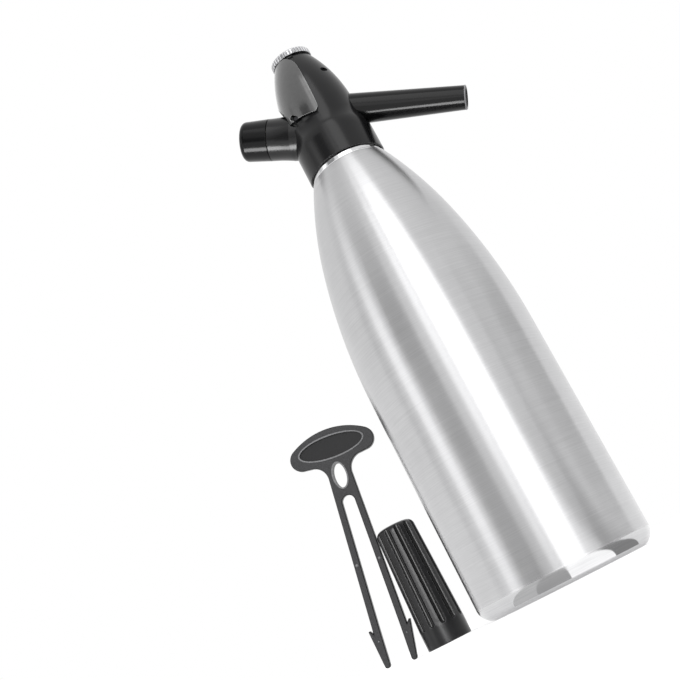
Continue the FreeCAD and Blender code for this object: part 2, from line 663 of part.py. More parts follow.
# Slot for the lever's arm, open at the back and rounded round the pin.
SLOT_SIDE = "(arm_width / 2 + slot_gap)"
arm_slot = block(
    "arm_slot", ("-2 * bulb_radius", "-" + SLOT_SIDE, "shoulder_height + slot_floor"),
    ("pivot_reach - 2 * eye_radius - slot_gap", SLOT_SIDE, f"shoulder_height + {SLOT_TOP}"))
eye_slot = block(
    "eye_slot", ("0", "-" + SLOT_SIDE, "shoulder_height + pivot_height - eye_radius - 2 * slot_gap"),
    ("pivot_reach", SLOT_SIDE, f"shoulder_height + {SLOT_TOP} - slot_headroom - slot_gap"))
eye_room = cross_rod("eye_room", "eye_radius + slot_gap", "2 * " + SLOT_SIDE,
                     "pivot_reach", "shoulder_height + pivot_height")

pin_hole = cross_rod("pin_hole", "pivot_radius", "pivot_pin_length",
                     "pivot_reach", "shoulder_height + pivot_height")
pin_mouth = cut(
    "pin_mouth",
    cross_rod("pin_mouth_bar", "pivot_radius + slot_gap", "3 * bulb_radius",
              "pivot_reach", "shoulder_height + pivot_height"),
    block("pin_mouth_core", ("0", "-pivot_pin_length / 2", "shoulder_height"),
          ("2 * pivot_reach", "pivot_pin_length / 2", "shoulder_height + bulb_top")))

# The spout's socket follows its taper.
SPOUT_TAPER = "(spout_root_radius - spout_tip_radius) / (spout_reach - spout_seat)"
SOCKET_MOUTH = "spout_seat + bulb_radius"
spout_socket = on_spout(turned(
    "spout_socket",
    ("0", "spout_tail_start"),
    ("spout_tail_radius", "spout_tail_start"),
    ("spout_tail_radius", "spout_seat"),
    ("spout_root_radius + seam_gap", "spout_seat"),
    (f"spout_root_radius + seam_gap - bulb_radius * {SPOUT_TAPER}", SOCKET_MOUTH),
    ("0", SOCKET_MOUTH),
))
spout_passage = on_spout(rod("spout_passage", "seat_bore", "spout_tail_start + seam_gap"))
port_socket = on_port(rod("port_socket_room", "port_socket", "port_face"), "port_socket_start")
check_room = on_port(rod("check_room", "check_radius", "port_socket_start - check_start + seam_gap"),
                     "check_start")
gas_passage = on_port(rod("gas_passage", "gas_bore", "check_start - gas_start + seam_gap"), "gas_start")
GAS_DROP = f"(port_cross + gas_hole_circle * tan(port_slope) + gas_bore / 2 - ({FLANGE_TOP}))"
gas_drop = rod("gas_drop", "gas_bore", GAS_DROP, f"shoulder_height + {FLANGE_TOP}")
gas_drop.setExpression("Placement.Base.x", bound("-gas_hole_circle"))


def stop_pin_bars(name, length):
    """Two short bars across the head, where the lever's stop pins go."""
    bar = cross_rod(name + "_bar", "stop_pin_radius", length,
                    "-stop_pin_back", "shoulder_height + stop_pin_height")
    core = block(name + "_core", ("-2 * stop_pin_back", "-stop_pin_inner", "shoulder_height"),
                 ("0", "stop_pin_inner", "shoulder_height + bulb_top"))
    return cut(name, bar, core)


# Under the hood the bulb is cut back to the hood's own inside, at rest and at the end of its travel.
CUT_BACK = "(hood_gap - part_gap)"


def hood_room(name, turn):
    """What lies inside the hood when the lever has turned by a formula's angle."""
    room = turned(
        name,
        ("0", "skirt_lip_height"),
        (f"bulb_radius + {CUT_BACK}", "skirt_lip_height"),
        (f"bulb_radius + {CUT_BACK}", "bulb_middle"),
        (bulb_at("bulb_top", CUT_BACK), "bulb_top", "smooth"),
        (bulb_at("bulb_top", CUT_BACK), "bulb_top + 2 * top_cap_height"),
        ("0", "bulb_top + 2 * top_cap_height"),
    )
    room.Placement.Rotation = FreeCAD.Rotation(-ACROSS, 5)
    room.setExpression("Placement.Rotation.Angle", bound(turn))
    room.setExpression("Placement.Base.x", bound(
        f"pivot_reach - (pivot_reach - hood_shift) * cos({turn}) + pivot_height * sin({turn})"))
    room.setExpression("Placement.Base.z", bound(
        "shoulder_height + pivot_height"
        f" - (pivot_reach - hood_shift) * sin({turn}) - pivot_height * cos({turn})"))
    return room


LEDGE = "hood_bottom - ledge_drop"
hood_region = on_shoulder(slab(
    "hood_region", "4 * bulb_radius",
    ("hood_edge", LEDGE),
    ("hood_edge", "bulb_top + 2 * top_cap_height"),
    ("-2 * bulb_radius", "bulb_top + 2 * top_cap_height"),
    ("-2 * bulb_radius", LEDGE + " + tan(lever_travel) * (2 * bulb_radius + hood_edge)"),
))
hood_inside = shared("hood_inside", hood_room("hood_at_rest", "0 * lever_travel"),
                     hood_room("hood_pressed", "lever_travel"))
recess_tool = cut("recess_tool", hood_region, hood_inside, port_boss)

housing = cut(
    "head_housing", housing_solid, rim_arch, recess_tool, neck_room, valve_room, arm_slot, eye_slot,
    eye_room, pin_hole, pin_mouth, spout_socket, spout_passage, port_socket, check_room,
    gas_passage, gas_drop, stop_pin_bars("stop_pin_holes", "3 * bulb_radius"))
keep(housing, "head_housing")

# --- spout -------------------------------------------------------------------------------------------

SPOUT_SEAL_PLACE = "(spout_tail_start + spout_seat) / 2"
keep(on_spout(turned(
    "spout",
    ("spout_bore", "spout_tail_start"),
    ("spout_tail_radius", "spout_tail_start"),
    ("spout_tail_radius", SPOUT_SEAL_PLACE + " - seal_groove / 2"),
    ("spout_tail_radius - spout_groove_depth", SPOUT_SEAL_PLACE + " - seal_groove / 2"),
    ("spout_tail_radius - spout_groove_depth", SPOUT_SEAL_PLACE + " + seal_groove / 2"),
    ("spout_tail_radius", SPOUT_SEAL_PLACE + " + seal_groove / 2"),
    ("spout_tail_radius", "spout_seat"),
    ("spout_root_radius", "spout_seat"),
    ("spout_tip_radius", "spout_reach - spout_tip_bevel"),
    ("spout_tip_radius - spout_tip_bevel", "spout_reach"),
    ("spout_mouth + spout_tip_bevel", "spout_reach"),
    ("spout_mouth", "spout_reach - spout_tip_bevel"),
    ("spout_mouth", "spout_reach - spout_mouth_depth"),
    ("spout_bore", "spout_reach - spout_mouth_depth - (spout_mouth - spout_bore)"),
)), "spout")

spout_seal = doc.addObject("Part::Torus", "spout_seal")
spout_seal.setExpression("Radius1", bound("spout_tail_radius - spout_seal_wire - running_gap / 2"))
spout_seal.setExpression("Radius2", bound("spout_seal_wire"))
keep(on_spout(spout_seal, SPOUT_SEAL_PLACE), "spout_seal")

# --- charger port --------------------------------------------------------------------------------------

PORT_FLOOR = "port_face + port_floor_depth"
PIN_END = PORT_FLOOR + " + pin_reach"
keep(on_port(turned(
    "charger_seat",
    ("pin_body_radius", "port_socket_start"),
    ("port_socket", "port_socket_start"),
    ("port_socket", "port_face"),
    ("port_thread_radius", "port_face"),
    ("port_thread_radius", "port_thread_end - thread_bevel"),
    ("port_thread_radius - thread_bevel", "port_thread_end"),
    ("port_bore + thread_bevel", "port_thread_end"),
    ("port_bore", "port_thread_end - thread_bevel"),
    ("port_bore", PORT_FLOOR),
    ("pin_body_radius", PORT_FLOOR),
)), "charger_seat")

keep(on_port(turned(
    "piercing_pin",
    ("pin_bore", "port_socket_start"),
    ("pin_body_radius", "port_socket_start"),
    ("pin_body_radius", PORT_FLOOR),
    ("pin_needle_radius", PORT_FLOOR),
    ("pin_needle_radius", PIN_END + " - pin_taper"),
    ("pin_point_radius", PIN_END),
    ("pin_bore", PIN_END),
)), "piercing_pin")

keep(on_port(turned(
    "port_seal",
    ("pin_needle_radius + running_gap", PORT_FLOOR),
    ("port_bore", PORT_FLOOR),
    ("port_bore", PORT_FLOOR + " + seal_washer_thickness"),
    ("pin_needle_radius + running_gap", PORT_FLOOR + " + seal_washer_thickness"),
)), "port_seal")

keep(on_port(turned(
    "check_valve",
    ("0.8 * pin_bore", "check_start + pin_bore"),
    ("check_lip", "check_start + pin_bore"),
    ("check_lip + pin_bore", "check_start + pin_bore + check_length"),
    ("check_radius", "check_start + pin_bore + check_length"),
    ("check_radius", "port_socket_start"),
    ("pin_bore", "port_socket_start"),
)), "check_valve")

CAP_START = "port_face + part_gap"
LINER_START = "port_thread_end + part_gap"
LINER_END = LINER_START + " + liner_thickness"
CAP_CEILING = LINER_END + " + running_gap"
keep(on_port(turned(
    "port_cap",
    ("port_thread_radius + part_gap", CAP_START),
    ("port_radius - cap_bevel", CAP_START),
    ("port_radius", CAP_START + " + cap_bevel"),
    ("port_radius - cap_draft", "cap_end - cap_edge_radius"),
    ("port_radius - cap_draft - cap_edge_radius", "cap_end", "smooth"),
    ("0", "cap_end"),
    ("0", CAP_CEILING),
    ("port_thread_radius + part_gap", CAP_CEILING),
)), "port_cap")

keep(on_port(turned(
    "cap_liner",
    ("0", LINER_START),
    ("port_thread_radius", LINER_START),
    ("port_thread_radius", LINER_END),
    ("0", LINER_END),
)), "cap_liner")

# --- lever ---------------------------------------------------------------------------------------------

HOOD_OUTSIDE = "(hood_gap + hood_wall)"
HOOD_TOP = "(bulb_top - part_gap + seam_gap)"
HOOD_FRONT = "(hood_edge - seam_gap)"
hood_shell = on_shoulder(turned(
    "hood_shell",
    ("bulb_radius + hood_gap", "waist_height"),
    (f"bulb_radius + {HOOD_OUTSIDE}", "waist_height"),
    (f"bulb_radius + {HOOD_OUTSIDE}", "bulb_middle"),
    (bulb_at(HOOD_TOP, HOOD_OUTSIDE), HOOD_TOP, "smooth"),
    (bulb_at(HOOD_TOP, "hood_gap"), HOOD_TOP),
    ("bulb_radius + hood_gap", "bulb_middle", BULB_ARC + " + hood_gap", -1),
))
hood_shell.setExpression("Placement.Base.x", bound("hood_shift"))
# The hood's outline from the side: a shield with a rounded top.
hood_shield = on_shoulder(slab(
    "hood_shield", "4 * bulb_radius",
    (f"{HOOD_FRONT} - 0.8 * hood_corner", "hood_bottom"),
    (HOOD_FRONT, "hood_bottom + hood_corner", "hood_corner", 1),
    (HOOD_FRONT, "hood_bottom + hood_corner + hood_side_length", "hood_side_radius", 1),
    (f"{HOOD_FRONT} - hood_shoulder_back", "bulb_top - hood_top_drop", "hood_shoulder_radius", 1),
    ("-bulb_top_radius + hood_shift", "bulb_top + hood_top_drop"),
    ("-2 * bulb_radius", "bulb_top + hood_top_drop"),
    ("-2 * bulb_radius", "hood_bottom + hood_rake * 2 * bulb_radius"),
))
hood = shared("hood", hood_shell, hood_shield)

# The back of the hood is cut away round the boss, with room for its travel.
boss_clear = new_body("boss_clear")
boss_sketch = plane_sketch(boss_clear, "boss_clear_outline", "XY_Plane")
CLEAR_RADIUS = "(port_radius + port_flare + part_gap)"
CLEAR_RISE = "(pivot_reach + bulb_radius) * sin(lever_travel) + part_gap"
outline(
    boss_sketch,
    (f"-{CLEAR_RADIUS}", f"-{CLEAR_RADIUS}"),
    (CLEAR_RISE, f"-{CLEAR_RADIUS}"),
    (CLEAR_RISE, CLEAR_RADIUS, "smooth"),
    (f"-{CLEAR_RADIUS}", CLEAR_RADIUS),
)
boss_pad = boss_clear.newObject("PartDesign::Pad", "boss_clear_pad")
boss_pad.Profile = boss_sketch
boss_pad.setExpression("Length", bound("2 * port_face"))
boss_clear.Tip = boss_pad
on_port(boss_clear)

# A slanting notch in each lower edge rides over the stop pins.
STOP_RUN_X = "(pivot_height - stop_pin_height) * sin(lever_travel)"
STOP_RUN_Z = "(pivot_reach + stop_pin_back) * sin(lever_travel)"
STOP_RUN = f"sqrt(({STOP_RUN_X})^2 + ({STOP_RUN_Z})^2)"
NOTCH_RADIUS = "(stop_pin_radius + part_gap)"
NOTCH_X = f"{NOTCH_RADIUS} * ({STOP_RUN_Z}) / {STOP_RUN}"
NOTCH_Z = f"{NOTCH_RADIUS} * ({STOP_RUN_X}) / {STOP_RUN}"
notch_low = cross_rod("notch_low", NOTCH_RADIUS, "4 * bulb_radius",
                      "-stop_pin_back", "shoulder_height + stop_pin_height")
notch_high = cross_rod("notch_high", NOTCH_RADIUS, "4 * bulb_radius", f"-stop_pin_back - {STOP_RUN_X}",
                       f"shoulder_height + stop_pin_height + {STOP_RUN_Z}")
notch_run = on_shoulder(slab(
    "notch_run", "4 * bulb_radius",
    (f"-stop_pin_back - {NOTCH_X}", f"stop_pin_height - {NOTCH_Z}"),
    (f"-stop_pin_back + {NOTCH_X}", f"stop_pin_height + {NOTCH_Z}"),
    (f"-stop_pin_back - {STOP_RUN_X} + {NOTCH_X}", f"stop_pin_height + {STOP_RUN_Z} + {NOTCH_Z}"),
    (f"-stop_pin_back - {STOP_RUN_X} - {NOTCH_X}", f"stop_pin_height + {STOP_RUN_Z} - {NOTCH_Z}"),
))
notches = joined("notches", notch_low, notch_high, notch_run)

arm = on_shoulder(slab(
    "arm", "arm_width",
    (f"hood_shift - ({bulb_at('(arm_height)', 'hood_gap')}) - hood_wall / 2", "arm_height"),
    ("arm_bend", "arm_height"),
    ("pivot_reach", "pivot_height - eye_radius"),
    ("pivot_reach", "pivot_height + eye_radius"),
    ("arm_bend", "arm_height + arm_depth"),
    (f"hood_shift - ({bulb_at('(arm_height + arm_depth)', 'hood_gap')}) - hood_wall / 2",
     "arm_height + arm_depth"),
))
eye = cross_rod("eye", "eye_radius", "arm_width", "pivot_reach", "shoulder_height + pivot_height")
eye_hole = cross_rod("eye_hole", "pivot_radius + running_gap", "2 * arm_width",
                     "pivot_reach", "shoulder_height + pivot_height")
hood_trimmed = cut("hood_trimmed", hood, boss_clear, notches)
keep(cut("lever", joined("lever_solid", hood_trimmed, arm, eye), eye_hole), "lever")

keep(cross_rod("lever_pivot_pin", "pivot_radius", "pivot_pin_length",
               "pivot_reach", "shoulder_height + pivot_height"), "lever_pivot_pin")
keep(stop_pin_bars("lever_stop_pins", "2 * (bulb_radius - stop_pin_inset)"), "lever_stop_pins")

# --- valve -----------------------------------------------------------------------------------------------

WASHER_TOP = "seat_height - running_gap"
WASHER_BASE = WASHER_TOP + " - washer_thickness"
# The stem stands proud of its cup, so that the tilting arm meets only the stem's rounded end.
STEM_TOP = "arm_height - stem_drop"
CUP_TOP = STEM_TOP + " - stem_proud"
CUP_BASE = CUP_TOP + " - cup_thickness"
BUSH_TOP = "bush_height + bush_length"
STEM_SEAL_HEIGHT = "bush_height + bush_length / 2"

keep(on_shoulder(turned(
    "valve_seat",
    ("seat_bore", "seat_height"),
    ("valve_bore", "seat_height"),
    ("valve_bore", "seat_height + seat_thickness"),
    ("seat_bore", "seat_height + seat_thickness"),
)), "valve_seat")

keep(on_shoulder(turned(
    "valve_stem",
    ("0", WASHER_BASE + " - poppet_thickness"),
    ("poppet_radius", WASHER_BASE + " - poppet_thickness"),
    ("poppet_radius", WASHER_BASE),
    ("stem_radius", WASHER_BASE),
    ("stem_radius", STEM_TOP + " - stem_point_height"),
    ("stem_radius - stem_point_bevel", STEM_TOP),
    ("0", STEM_TOP),
)), "valve_stem")

keep(on_shoulder(turned(
    "valve_washer",
    ("stem_radius", WASHER_BASE),
    ("poppet_radius", WASHER_BASE),
    ("poppet_radius", WASHER_TOP),
    ("stem_radius", WASHER_TOP),
)), "valve_washer")

keep(on_shoulder(turned(
    "spring_cup",
    ("stem_radius", CUP_BASE),
    ("cup_radius", CUP_BASE),
    ("cup_radius", CUP_TOP),
    ("stem_radius", CUP_TOP),
)), "spring_cup")

keep(on_shoulder(turned(
    "stem_bush",
    ("stem_radius + running_gap", "bush_height"),
    ("valve_bore", "bush_height"),
    ("valve_bore", BUSH_TOP),
    ("stem_radius + running_gap", BUSH_TOP),
    ("stem_radius + running_gap", STEM_SEAL_HEIGHT + " + seal_groove / 2"),
    ("stem_radius + running_gap + stem_groove_depth", STEM_SEAL_HEIGHT + " + seal_groove / 2"),
    ("stem_radius + running_gap + stem_groove_depth", STEM_SEAL_HEIGHT + " - seal_groove / 2"),
    ("stem_radius + running_gap", STEM_SEAL_HEIGHT + " - seal_groove / 2"),
)), "stem_bush")

stem_seal = doc.addObject("Part::Torus", "stem_seal")
stem_seal.setExpression("Radius1", bound("stem_radius + running_gap + stem_seal_wire"))
stem_seal.setExpression("Radius2", bound("stem_seal_wire"))
stem_seal.setExpression("Placement.Base.z", bound(f"shoulder_height + {STEM_SEAL_HEIGHT}"))
keep(stem_seal, "stem_seal")

# The spring stands on the bush and holds the cup, and with it the poppet, up.
wire = number("spring_wire")
spring_low = number(f"shoulder_height + {BUSH_TOP} + spring_wire + seam_gap")
spring_high = number(f"shoulder_height + {CUP_BASE} - spring_wire - seam_gap")
spring_radius = number("cup_radius - spring_wire - part_gap")
coil = Part.makeHelix((spring_high - spring_low) / number("spring_turns"), spring_high - spring_low,
                      spring_radius)
section = Part.Wire(Part.Circle(Vector(spring_radius, 0, 0), ACROSS, wire).toShape())
spring = doc.addObject("Part::Feature", "valve_spring")
spring.Shape = Part.Wire(coil).makePipeShell([section], True, True)
spring.Placement.Base = Vector(0, 0, spring_low)
keep(spring, "valve_spring")

# --- fluted cap on top -------------------------------------------------------------------------------------

CAP_BASE = "bulb_top + seam_gap"
CAP_TOP = CAP_BASE + " + top_cap_height"
top_cap = turned(
    "top_cap",
    ("0", CAP_BASE + " - plug_length"),
    ("plug_radius", CAP_BASE + " - plug_length"),
    ("plug_radius", CAP_BASE),
    ("top_cap_radius - top_cap_bevel", CAP_BASE),
    ("top_cap_radius", CAP_BASE + " + top_cap_bevel"),
    ("top_cap_radius", CAP_TOP + " - top_cap_round"),
    ("top_cap_radius - top_cap_round", CAP_TOP, "top_cap_round", 1),
    ("top_cap_radius - top_cap_land", CAP_TOP),
    ("top_cap_radius - top_cap_land - top_cap_bevel", CAP_TOP + " - top_cap_bevel"),
    ("0", CAP_TOP + " - top_cap_bevel"),
)
flute_sketch = plane_sketch(top_cap, "flute_place", "XY_Plane")
disc(flute_sketch, "top_cap_radius + flute_offset", "0", "flute_radius")
flute = top_cap.newObject("PartDesign::Pocket", "flute")
flute.Profile = flute_sketch
flute.Type = "ThroughAll"
flute.Reversed = True
flutes = top_cap.newObject("PartDesign::PolarPattern", "flutes")
flutes.Originals = [flute]
flutes.Axis = (flute_sketch, ["N_Axis"])
flutes.Angle = 360
flutes.setExpression("Occurrences", bound("flute_count"))
top_cap.Tip = flutes
keep(on_shoulder(top_cap), "top_cap")

# --- charger holder --------------------------------------------------------------------------------------

HOLDER_TAPER = "(holder_mouth_radius - holder_end_radius) / (holder_length - holder_collar)"
charger_holder = turned(
    "charger_holder",
    ("holder_thread_radius", "holder_rim_bevel"),
    ("holder_thread_radius + holder_rim_bevel", "0"),
    ("holder_mouth_radius - holder_rim_bevel", "0"),
    ("holder_mouth_radius", "holder_rim_bevel"),
    ("holder_mouth_radius", "holder_collar"),
    (f"holder_end_radius + {HOLDER_TAPER} * holder_rounding", "holder_length - holder_rounding"),
    ("holder_end_radius - holder_rounding", "holder_length", "smooth"),
    ("0", "holder_length"),
    ("0", "holder_depth"),
    ("holder_bore - pad_step", "holder_depth"),
    ("holder_bore - pad_step", "holder_depth - pad_thickness"),
    ("holder_bore", "holder_depth - pad_thickness"),
    ("holder_bore", "holder_thread_length"),
    ("holder_thread_radius", "holder_thread_length"),
)


def flute_end(name, height, radius):
    """A circle round which one flute ends, at a height, centred just outside the holder's wall."""
    sketch = plane_sketch(charger_holder, name, "XY_Plane")
    sketch.setExpression("AttachmentOffset.Base.z", bound(height))
    disc(sketch, f"{radius} + 0.4 * holder_flute_radius", "0", "holder_flute_radius")
    return sketch


holder_flute = charger_holder.newObject("PartDesign::SubtractiveLoft", "holder_flute")
holder_flute.Profile = flute_end("flute_low", "holder_collar + holder_flute_radius", "holder_mouth_radius")
holder_flute.Sections = [flute_end("flute_high", "holder_length + holder_rounding",
                                   f"holder_end_radius - {HOLDER_TAPER} * holder_rounding")]
holder_flutes = charger_holder.newObject("PartDesign::PolarPattern", "holder_flutes")
holder_flutes.Originals = [holder_flute]
charger_holder.Tip = holder_flutes
doc.recompute()
flute_ball = charger_holder.newObject("PartDesign::SubtractiveSphere", "flute_ball")
flute_ball.setExpression("Radius", bound("holder_flute_radius"))
flute_ball.setExpression("Placement.Base.x", bound("holder_mouth_radius + 0.4 * holder_flute_radius"))
flute_ball.setExpression("Placement.Base.z", bound("holder_collar + holder_flute_radius"))
flute_balls = charger_holder.newObject("PartDesign::PolarPattern", "flute_balls")
flute_balls.Originals = [flute_ball]
for pattern in (holder_flutes, flute_balls):
    pattern.Axis = (holder_flute.Profile[0], ["N_Axis"])
    pattern.Angle = 360
    pattern.setExpression("Occurrences", bound("holder_flutes"))
charger_holder.Tip = flute_balls

holder_pad = turned(
    "holder_pad",
    ("0", "holder_depth - pad_thickness"),
    ("holder_bore - pad_step - seam_gap", "holder_depth - pad_thickness"),
    ("holder_bore - pad_step - seam_gap", "holder_depth"),
    ("0", "holder_depth"),
)
# A land between two flutes faces the key.
charger_holder.Placement.Rotation = FreeCAD.Rotation(UP, 15)
charger_holder.setExpression("Placement.Rotation.Angle", bound("180 / holder_flutes"))
for piece in (charger_holder, holder_pad):
    piece.setExpression("Placement.Base.x", bound("holder_place_x"))
    piece.setExpression("Placement.Base.y", bound("holder_place_y"))
    keep(piece, piece.Name)

# --- fork key ------------------------------------------------------------------------------------------

# The handle's crown is an arc that runs on into its rounded ends.
KEY_END_X = "(key_handle_width / 2 - key_handle_round)"
KEY_RISE = "(key_length - key_handle_height)"
KEY_CROWN = (f"(({KEY_END_X}^2 + {KEY_RISE}^2 - key_handle_round^2)"
             f" / (2 * ({KEY_RISE} - key_handle_round)))")
KEY_MEET = f"{KEY_CROWN} / ({KEY_CROWN} - key_handle_round)"
key_plate = slab(
    "key_plate", "key_thickness",
    ("0", "key_crotch"),
    ("key_crotch_width / 2", "key_crotch - key_crotch_width / 2", "key_crotch_width / 2", -1),
    ("key_barb_gap / 2", "key_barb_height"),
    ("key_tip_spread / 2 - key_tip_radius", "key_tip_radius"),
    ("key_tip_spread / 2", "0", "key_tip_radius", 1),
    ("key_tip_spread / 2 + key_tip_radius", "key_tip_radius", "smooth"),
    ("key_barb_width / 2", "key_barb_height + key_barb_hook"),
    ("key_barb_width / 2 - key_barb_flat", "key_barb_height + key_barb_hook", "key_barb_round", 1),
    ("key_barb_gap / 2 + key_prong_width", "key_barb_height"),
    ("key_neck_width / 2", "key_neck_height"),
    ("key_neck_width / 2 + key_neck_round", "key_neck_height + key_neck_round", "key_neck_round", -1),
    (KEY_END_X, "key_handle_height - key_handle_round"),
    (f"{KEY_END_X} * {KEY_MEET}",
     f"key_length - {KEY_CROWN} + ({KEY_CROWN} - {KEY_RISE}) * {KEY_MEET}", "key_handle_round", 1),
    ("0", "key_length", KEY_CROWN, 1),
)
key_half = key_plate.Tip
key_mirror = key_plate.newObject("PartDesign::Mirrored", "key_mirror")
key_mirror.Originals = [key_half]
key_mirror.MirrorPlane = (key_half.Profile[0], ["V_Axis"])
key_plate.Tip = key_mirror
doc.recompute()
key_bevel = key_plate.newObject("PartDesign::Chamfer", "key_bevel")
key_bevel.Base = (key_mirror, [
    f"Edge{index}" for index, edge in enumerate(key_mirror.Shape.Edges, start=1)
    if abs(abs(edge.CenterOfMass.y) - number("key_thickness / 2")) < 1e-6])
key_bevel.setExpression("Size", bound("key_bevel"))
key_plate.Tip = key_bevel


def oval(name, width, length, depth, height):
    """An oval bar through the key, width by length, reaching depth to both sides of its middle."""
    ellipse = doc.addObject("Part::Ellipse", name + "_outline")
    upright = number(length) > number(width)
    ellipse.setExpression("MajorRadius", bound(f"({length if upright else width}) / 2"))
    ellipse.setExpression("MinorRadius", bound(f"({width if upright else length}) / 2"))
    ellipse.Placement.Rotation = (FreeCAD.Rotation(Vector(1, 0, 0), 90)
                                  * FreeCAD.Rotation(UP, 90 if upright else 0))
    ellipse.setExpression("Placement.Base.z", bound(height))
    bar = doc.addObject("Part::Extrusion", name)
    bar.Base = ellipse
    bar.DirMode = "Custom"
    bar.Dir = ACROSS
    bar.Solid = True
    bar.setExpression("LengthFwd", bound(depth))
    bar.setExpression("LengthRev", bound(depth))
    return bar


KEY_PANEL = ("key_panel_length", "key_panel_height", "key_panel_middle")
KEY_EYE = ("key_eye_width", "key_eye_length", "key_neck_height")


def key_oval(name, size, depth, growth="0"):
    """The bar of the sunk panel or of the hole, grown all round."""
    width, length, height = size
    return oval(name, f"{width} + 2 * {growth}", f"{length} + 2 * {growth}", depth, height)


RIM_TOP = "key_thickness / 2 + key_rim_height"
PANEL_FLOOR = "key_thickness / 2 - key_panel_depth"
rims = joined("key_rims", key_oval("panel_rim", KEY_PANEL, RIM_TOP, "key_rim_width"),
              key_oval("eye_rim", KEY_EYE, RIM_TOP, "key_rim_width"))
panels = cut("key_panels", key_oval("panel_bar", KEY_PANEL, "key_thickness"),
             key_oval("panel_web", KEY_PANEL, PANEL_FLOOR, "key_rim_width"))
key_eye = key_oval("key_eye", KEY_EYE, "key_thickness")
fork_key = cut("fork_key", joined("key_blank", key_plate, rims), panels, key_eye)

# It stands on one tip, and the outer edge of that prong leans on the holder's rounded top.
EDGE_IN = "(key_barb_gap / 2 + key_prong_width - key_neck_width / 2)"
EDGE_UP = "(key_neck_height - key_barb_height)"
EDGE_LENGTH = f"sqrt({EDGE_IN}^2 + {EDGE_UP}^2)"
EDGE_SIN = f"(({EDGE_UP} * sin(key_lean) - {EDGE_IN} * cos(key_lean)) / {EDGE_LENGTH})"
EDGE_COS = f"(({EDGE_UP} * cos(key_lean) + {EDGE_IN} * sin(key_lean)) / {EDGE_LENGTH})"
TIP_RISE = "(key_tip_spread / 2 * sin(key_lean) + key_tip_radius * (1 - cos(key_lean)))"
EDGE_X = "((key_barb_gap / 2 + key_prong_width) * cos(key_lean) + key_barb_height * sin(key_lean))"
EDGE_Z = (f"({TIP_RISE} + key_barb_height * cos(key_lean)"
          " - (key_barb_gap / 2 + key_prong_width) * sin(key_lean))")
ROUND_X = "(holder_place_x - holder_end_radius + holder_rounding)"
ROUND_Z = "(holder_length - holder_rounding)"
fork_key.Placement.Rotation = FreeCAD.Rotation(ACROSS, 8)
fork_key.setExpression("Placement.Rotation.Angle", bound("key_lean"))
fork_key.setExpression("Placement.Base.x", bound(
    f"{ROUND_X} - (holder_rounding + part_gap + ({ROUND_Z} - {EDGE_Z}) * {EDGE_SIN}) / {EDGE_COS}"
    f" - {EDGE_X}"))
fork_key.setExpression("Placement.Base.y", bound("holder_place_y"))
fork_key.setExpression("Placement.Base.z", bound(TIP_RISE))
keep(fork_key, "fork_key")

# --- build, check, write -----------------------------------------------------------------------------------

doc.recompute()
faults = [f"{item.Label} is {state}" for item in doc.Objects for state in item.State
          if state in ("Invalid", "Error")]
faults += [f"{piece.Label} has no sound solid" for piece in PARTS
           if piece.Shape.isNull() or not piece.Shape.isValid() or not piece.Shape.Solids]
if faults:
    raise SystemExit("; ".join(faults))

os.makedirs("parts", exist_ok=True)
for piece in PARTS:
    piece.Shape.exportStep(f"parts/{piece.Label}.step")
    box = piece.Shape.BoundBox
    print(f"{piece.Label}: {len(piece.Shape.Solids)} solid, {piece.Shape.Volume:.0f} mm3, "
          f"x {box.XMin:.1f} to {box.XMax:.1f}, z {box.ZMin:.1f} to {box.ZMax:.1f}")
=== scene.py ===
# %% [markdown]
# # A soda siphon, from the workshop to the studio
#
# A soda siphon is a bottle for fizzy water.  A gas charger fills it with pressure, and a lever on
# its head lets the water out through a spout.  Its construction comes as finished pieces in real
# size.  This lesson gives each piece the finish that the real one has, adds the small forms that
# are cut or moulded into its surfaces, and lights it like a product picture.

# %% Load the pieces
import math

import bmesh
import bpy
from mathutils import Matrix, Vector


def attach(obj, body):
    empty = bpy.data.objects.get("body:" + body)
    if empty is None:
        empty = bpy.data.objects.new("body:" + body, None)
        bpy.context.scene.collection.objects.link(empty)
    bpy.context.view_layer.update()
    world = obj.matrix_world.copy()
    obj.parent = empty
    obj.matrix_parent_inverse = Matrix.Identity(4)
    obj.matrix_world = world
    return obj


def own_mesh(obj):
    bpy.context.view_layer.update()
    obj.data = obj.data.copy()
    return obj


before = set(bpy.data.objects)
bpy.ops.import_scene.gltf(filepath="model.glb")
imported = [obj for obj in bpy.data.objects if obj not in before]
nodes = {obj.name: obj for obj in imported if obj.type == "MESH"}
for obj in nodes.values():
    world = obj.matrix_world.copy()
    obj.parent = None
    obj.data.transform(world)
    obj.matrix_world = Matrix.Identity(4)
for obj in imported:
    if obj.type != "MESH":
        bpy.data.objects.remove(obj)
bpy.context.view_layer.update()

# %% [markdown]
# ## Units and colours
#
# Everything is in metres, but a maker thinks of a siphon in millimetres, so one constant turns
# millimetres into metres.  Colours are written as the hex values that a screen shows.  The
# renderer wants linear light instead, so one function does the conversion for every colour.

# %% Units and colours
MM = 0.001


def colour(hex_value):
    """Linear RGBA for an sRGB colour such as "#8c8c8e"."""
    channels = [int(hex_value[i:i + 2], 16) / 255 for i in (1, 3, 5)]
    linear = [c / 12.92 if c <= 0.04045 else ((c + 0.055) / 1.055) ** 2.4 for c in channels]
    return (*linear, 1.0)


print("#808080 on a screen is", round(colour("#808080")[0], 3), "in linear light")

# %% [markdown]
# ## The camera
#
# The siphon is seen from the side, with the lens almost on the floor, so the bottle's foot ends in
# a nearly straight line and the head is seen from below.  The camera is also turned about its own
# axis, so the bottle runs from top left to bottom right.  It could be aimed with three angles, but
# their order is hard to keep in mind.  A camera looks along its own -Z, so its three axes are
# worked out from the view direction and the turn instead.

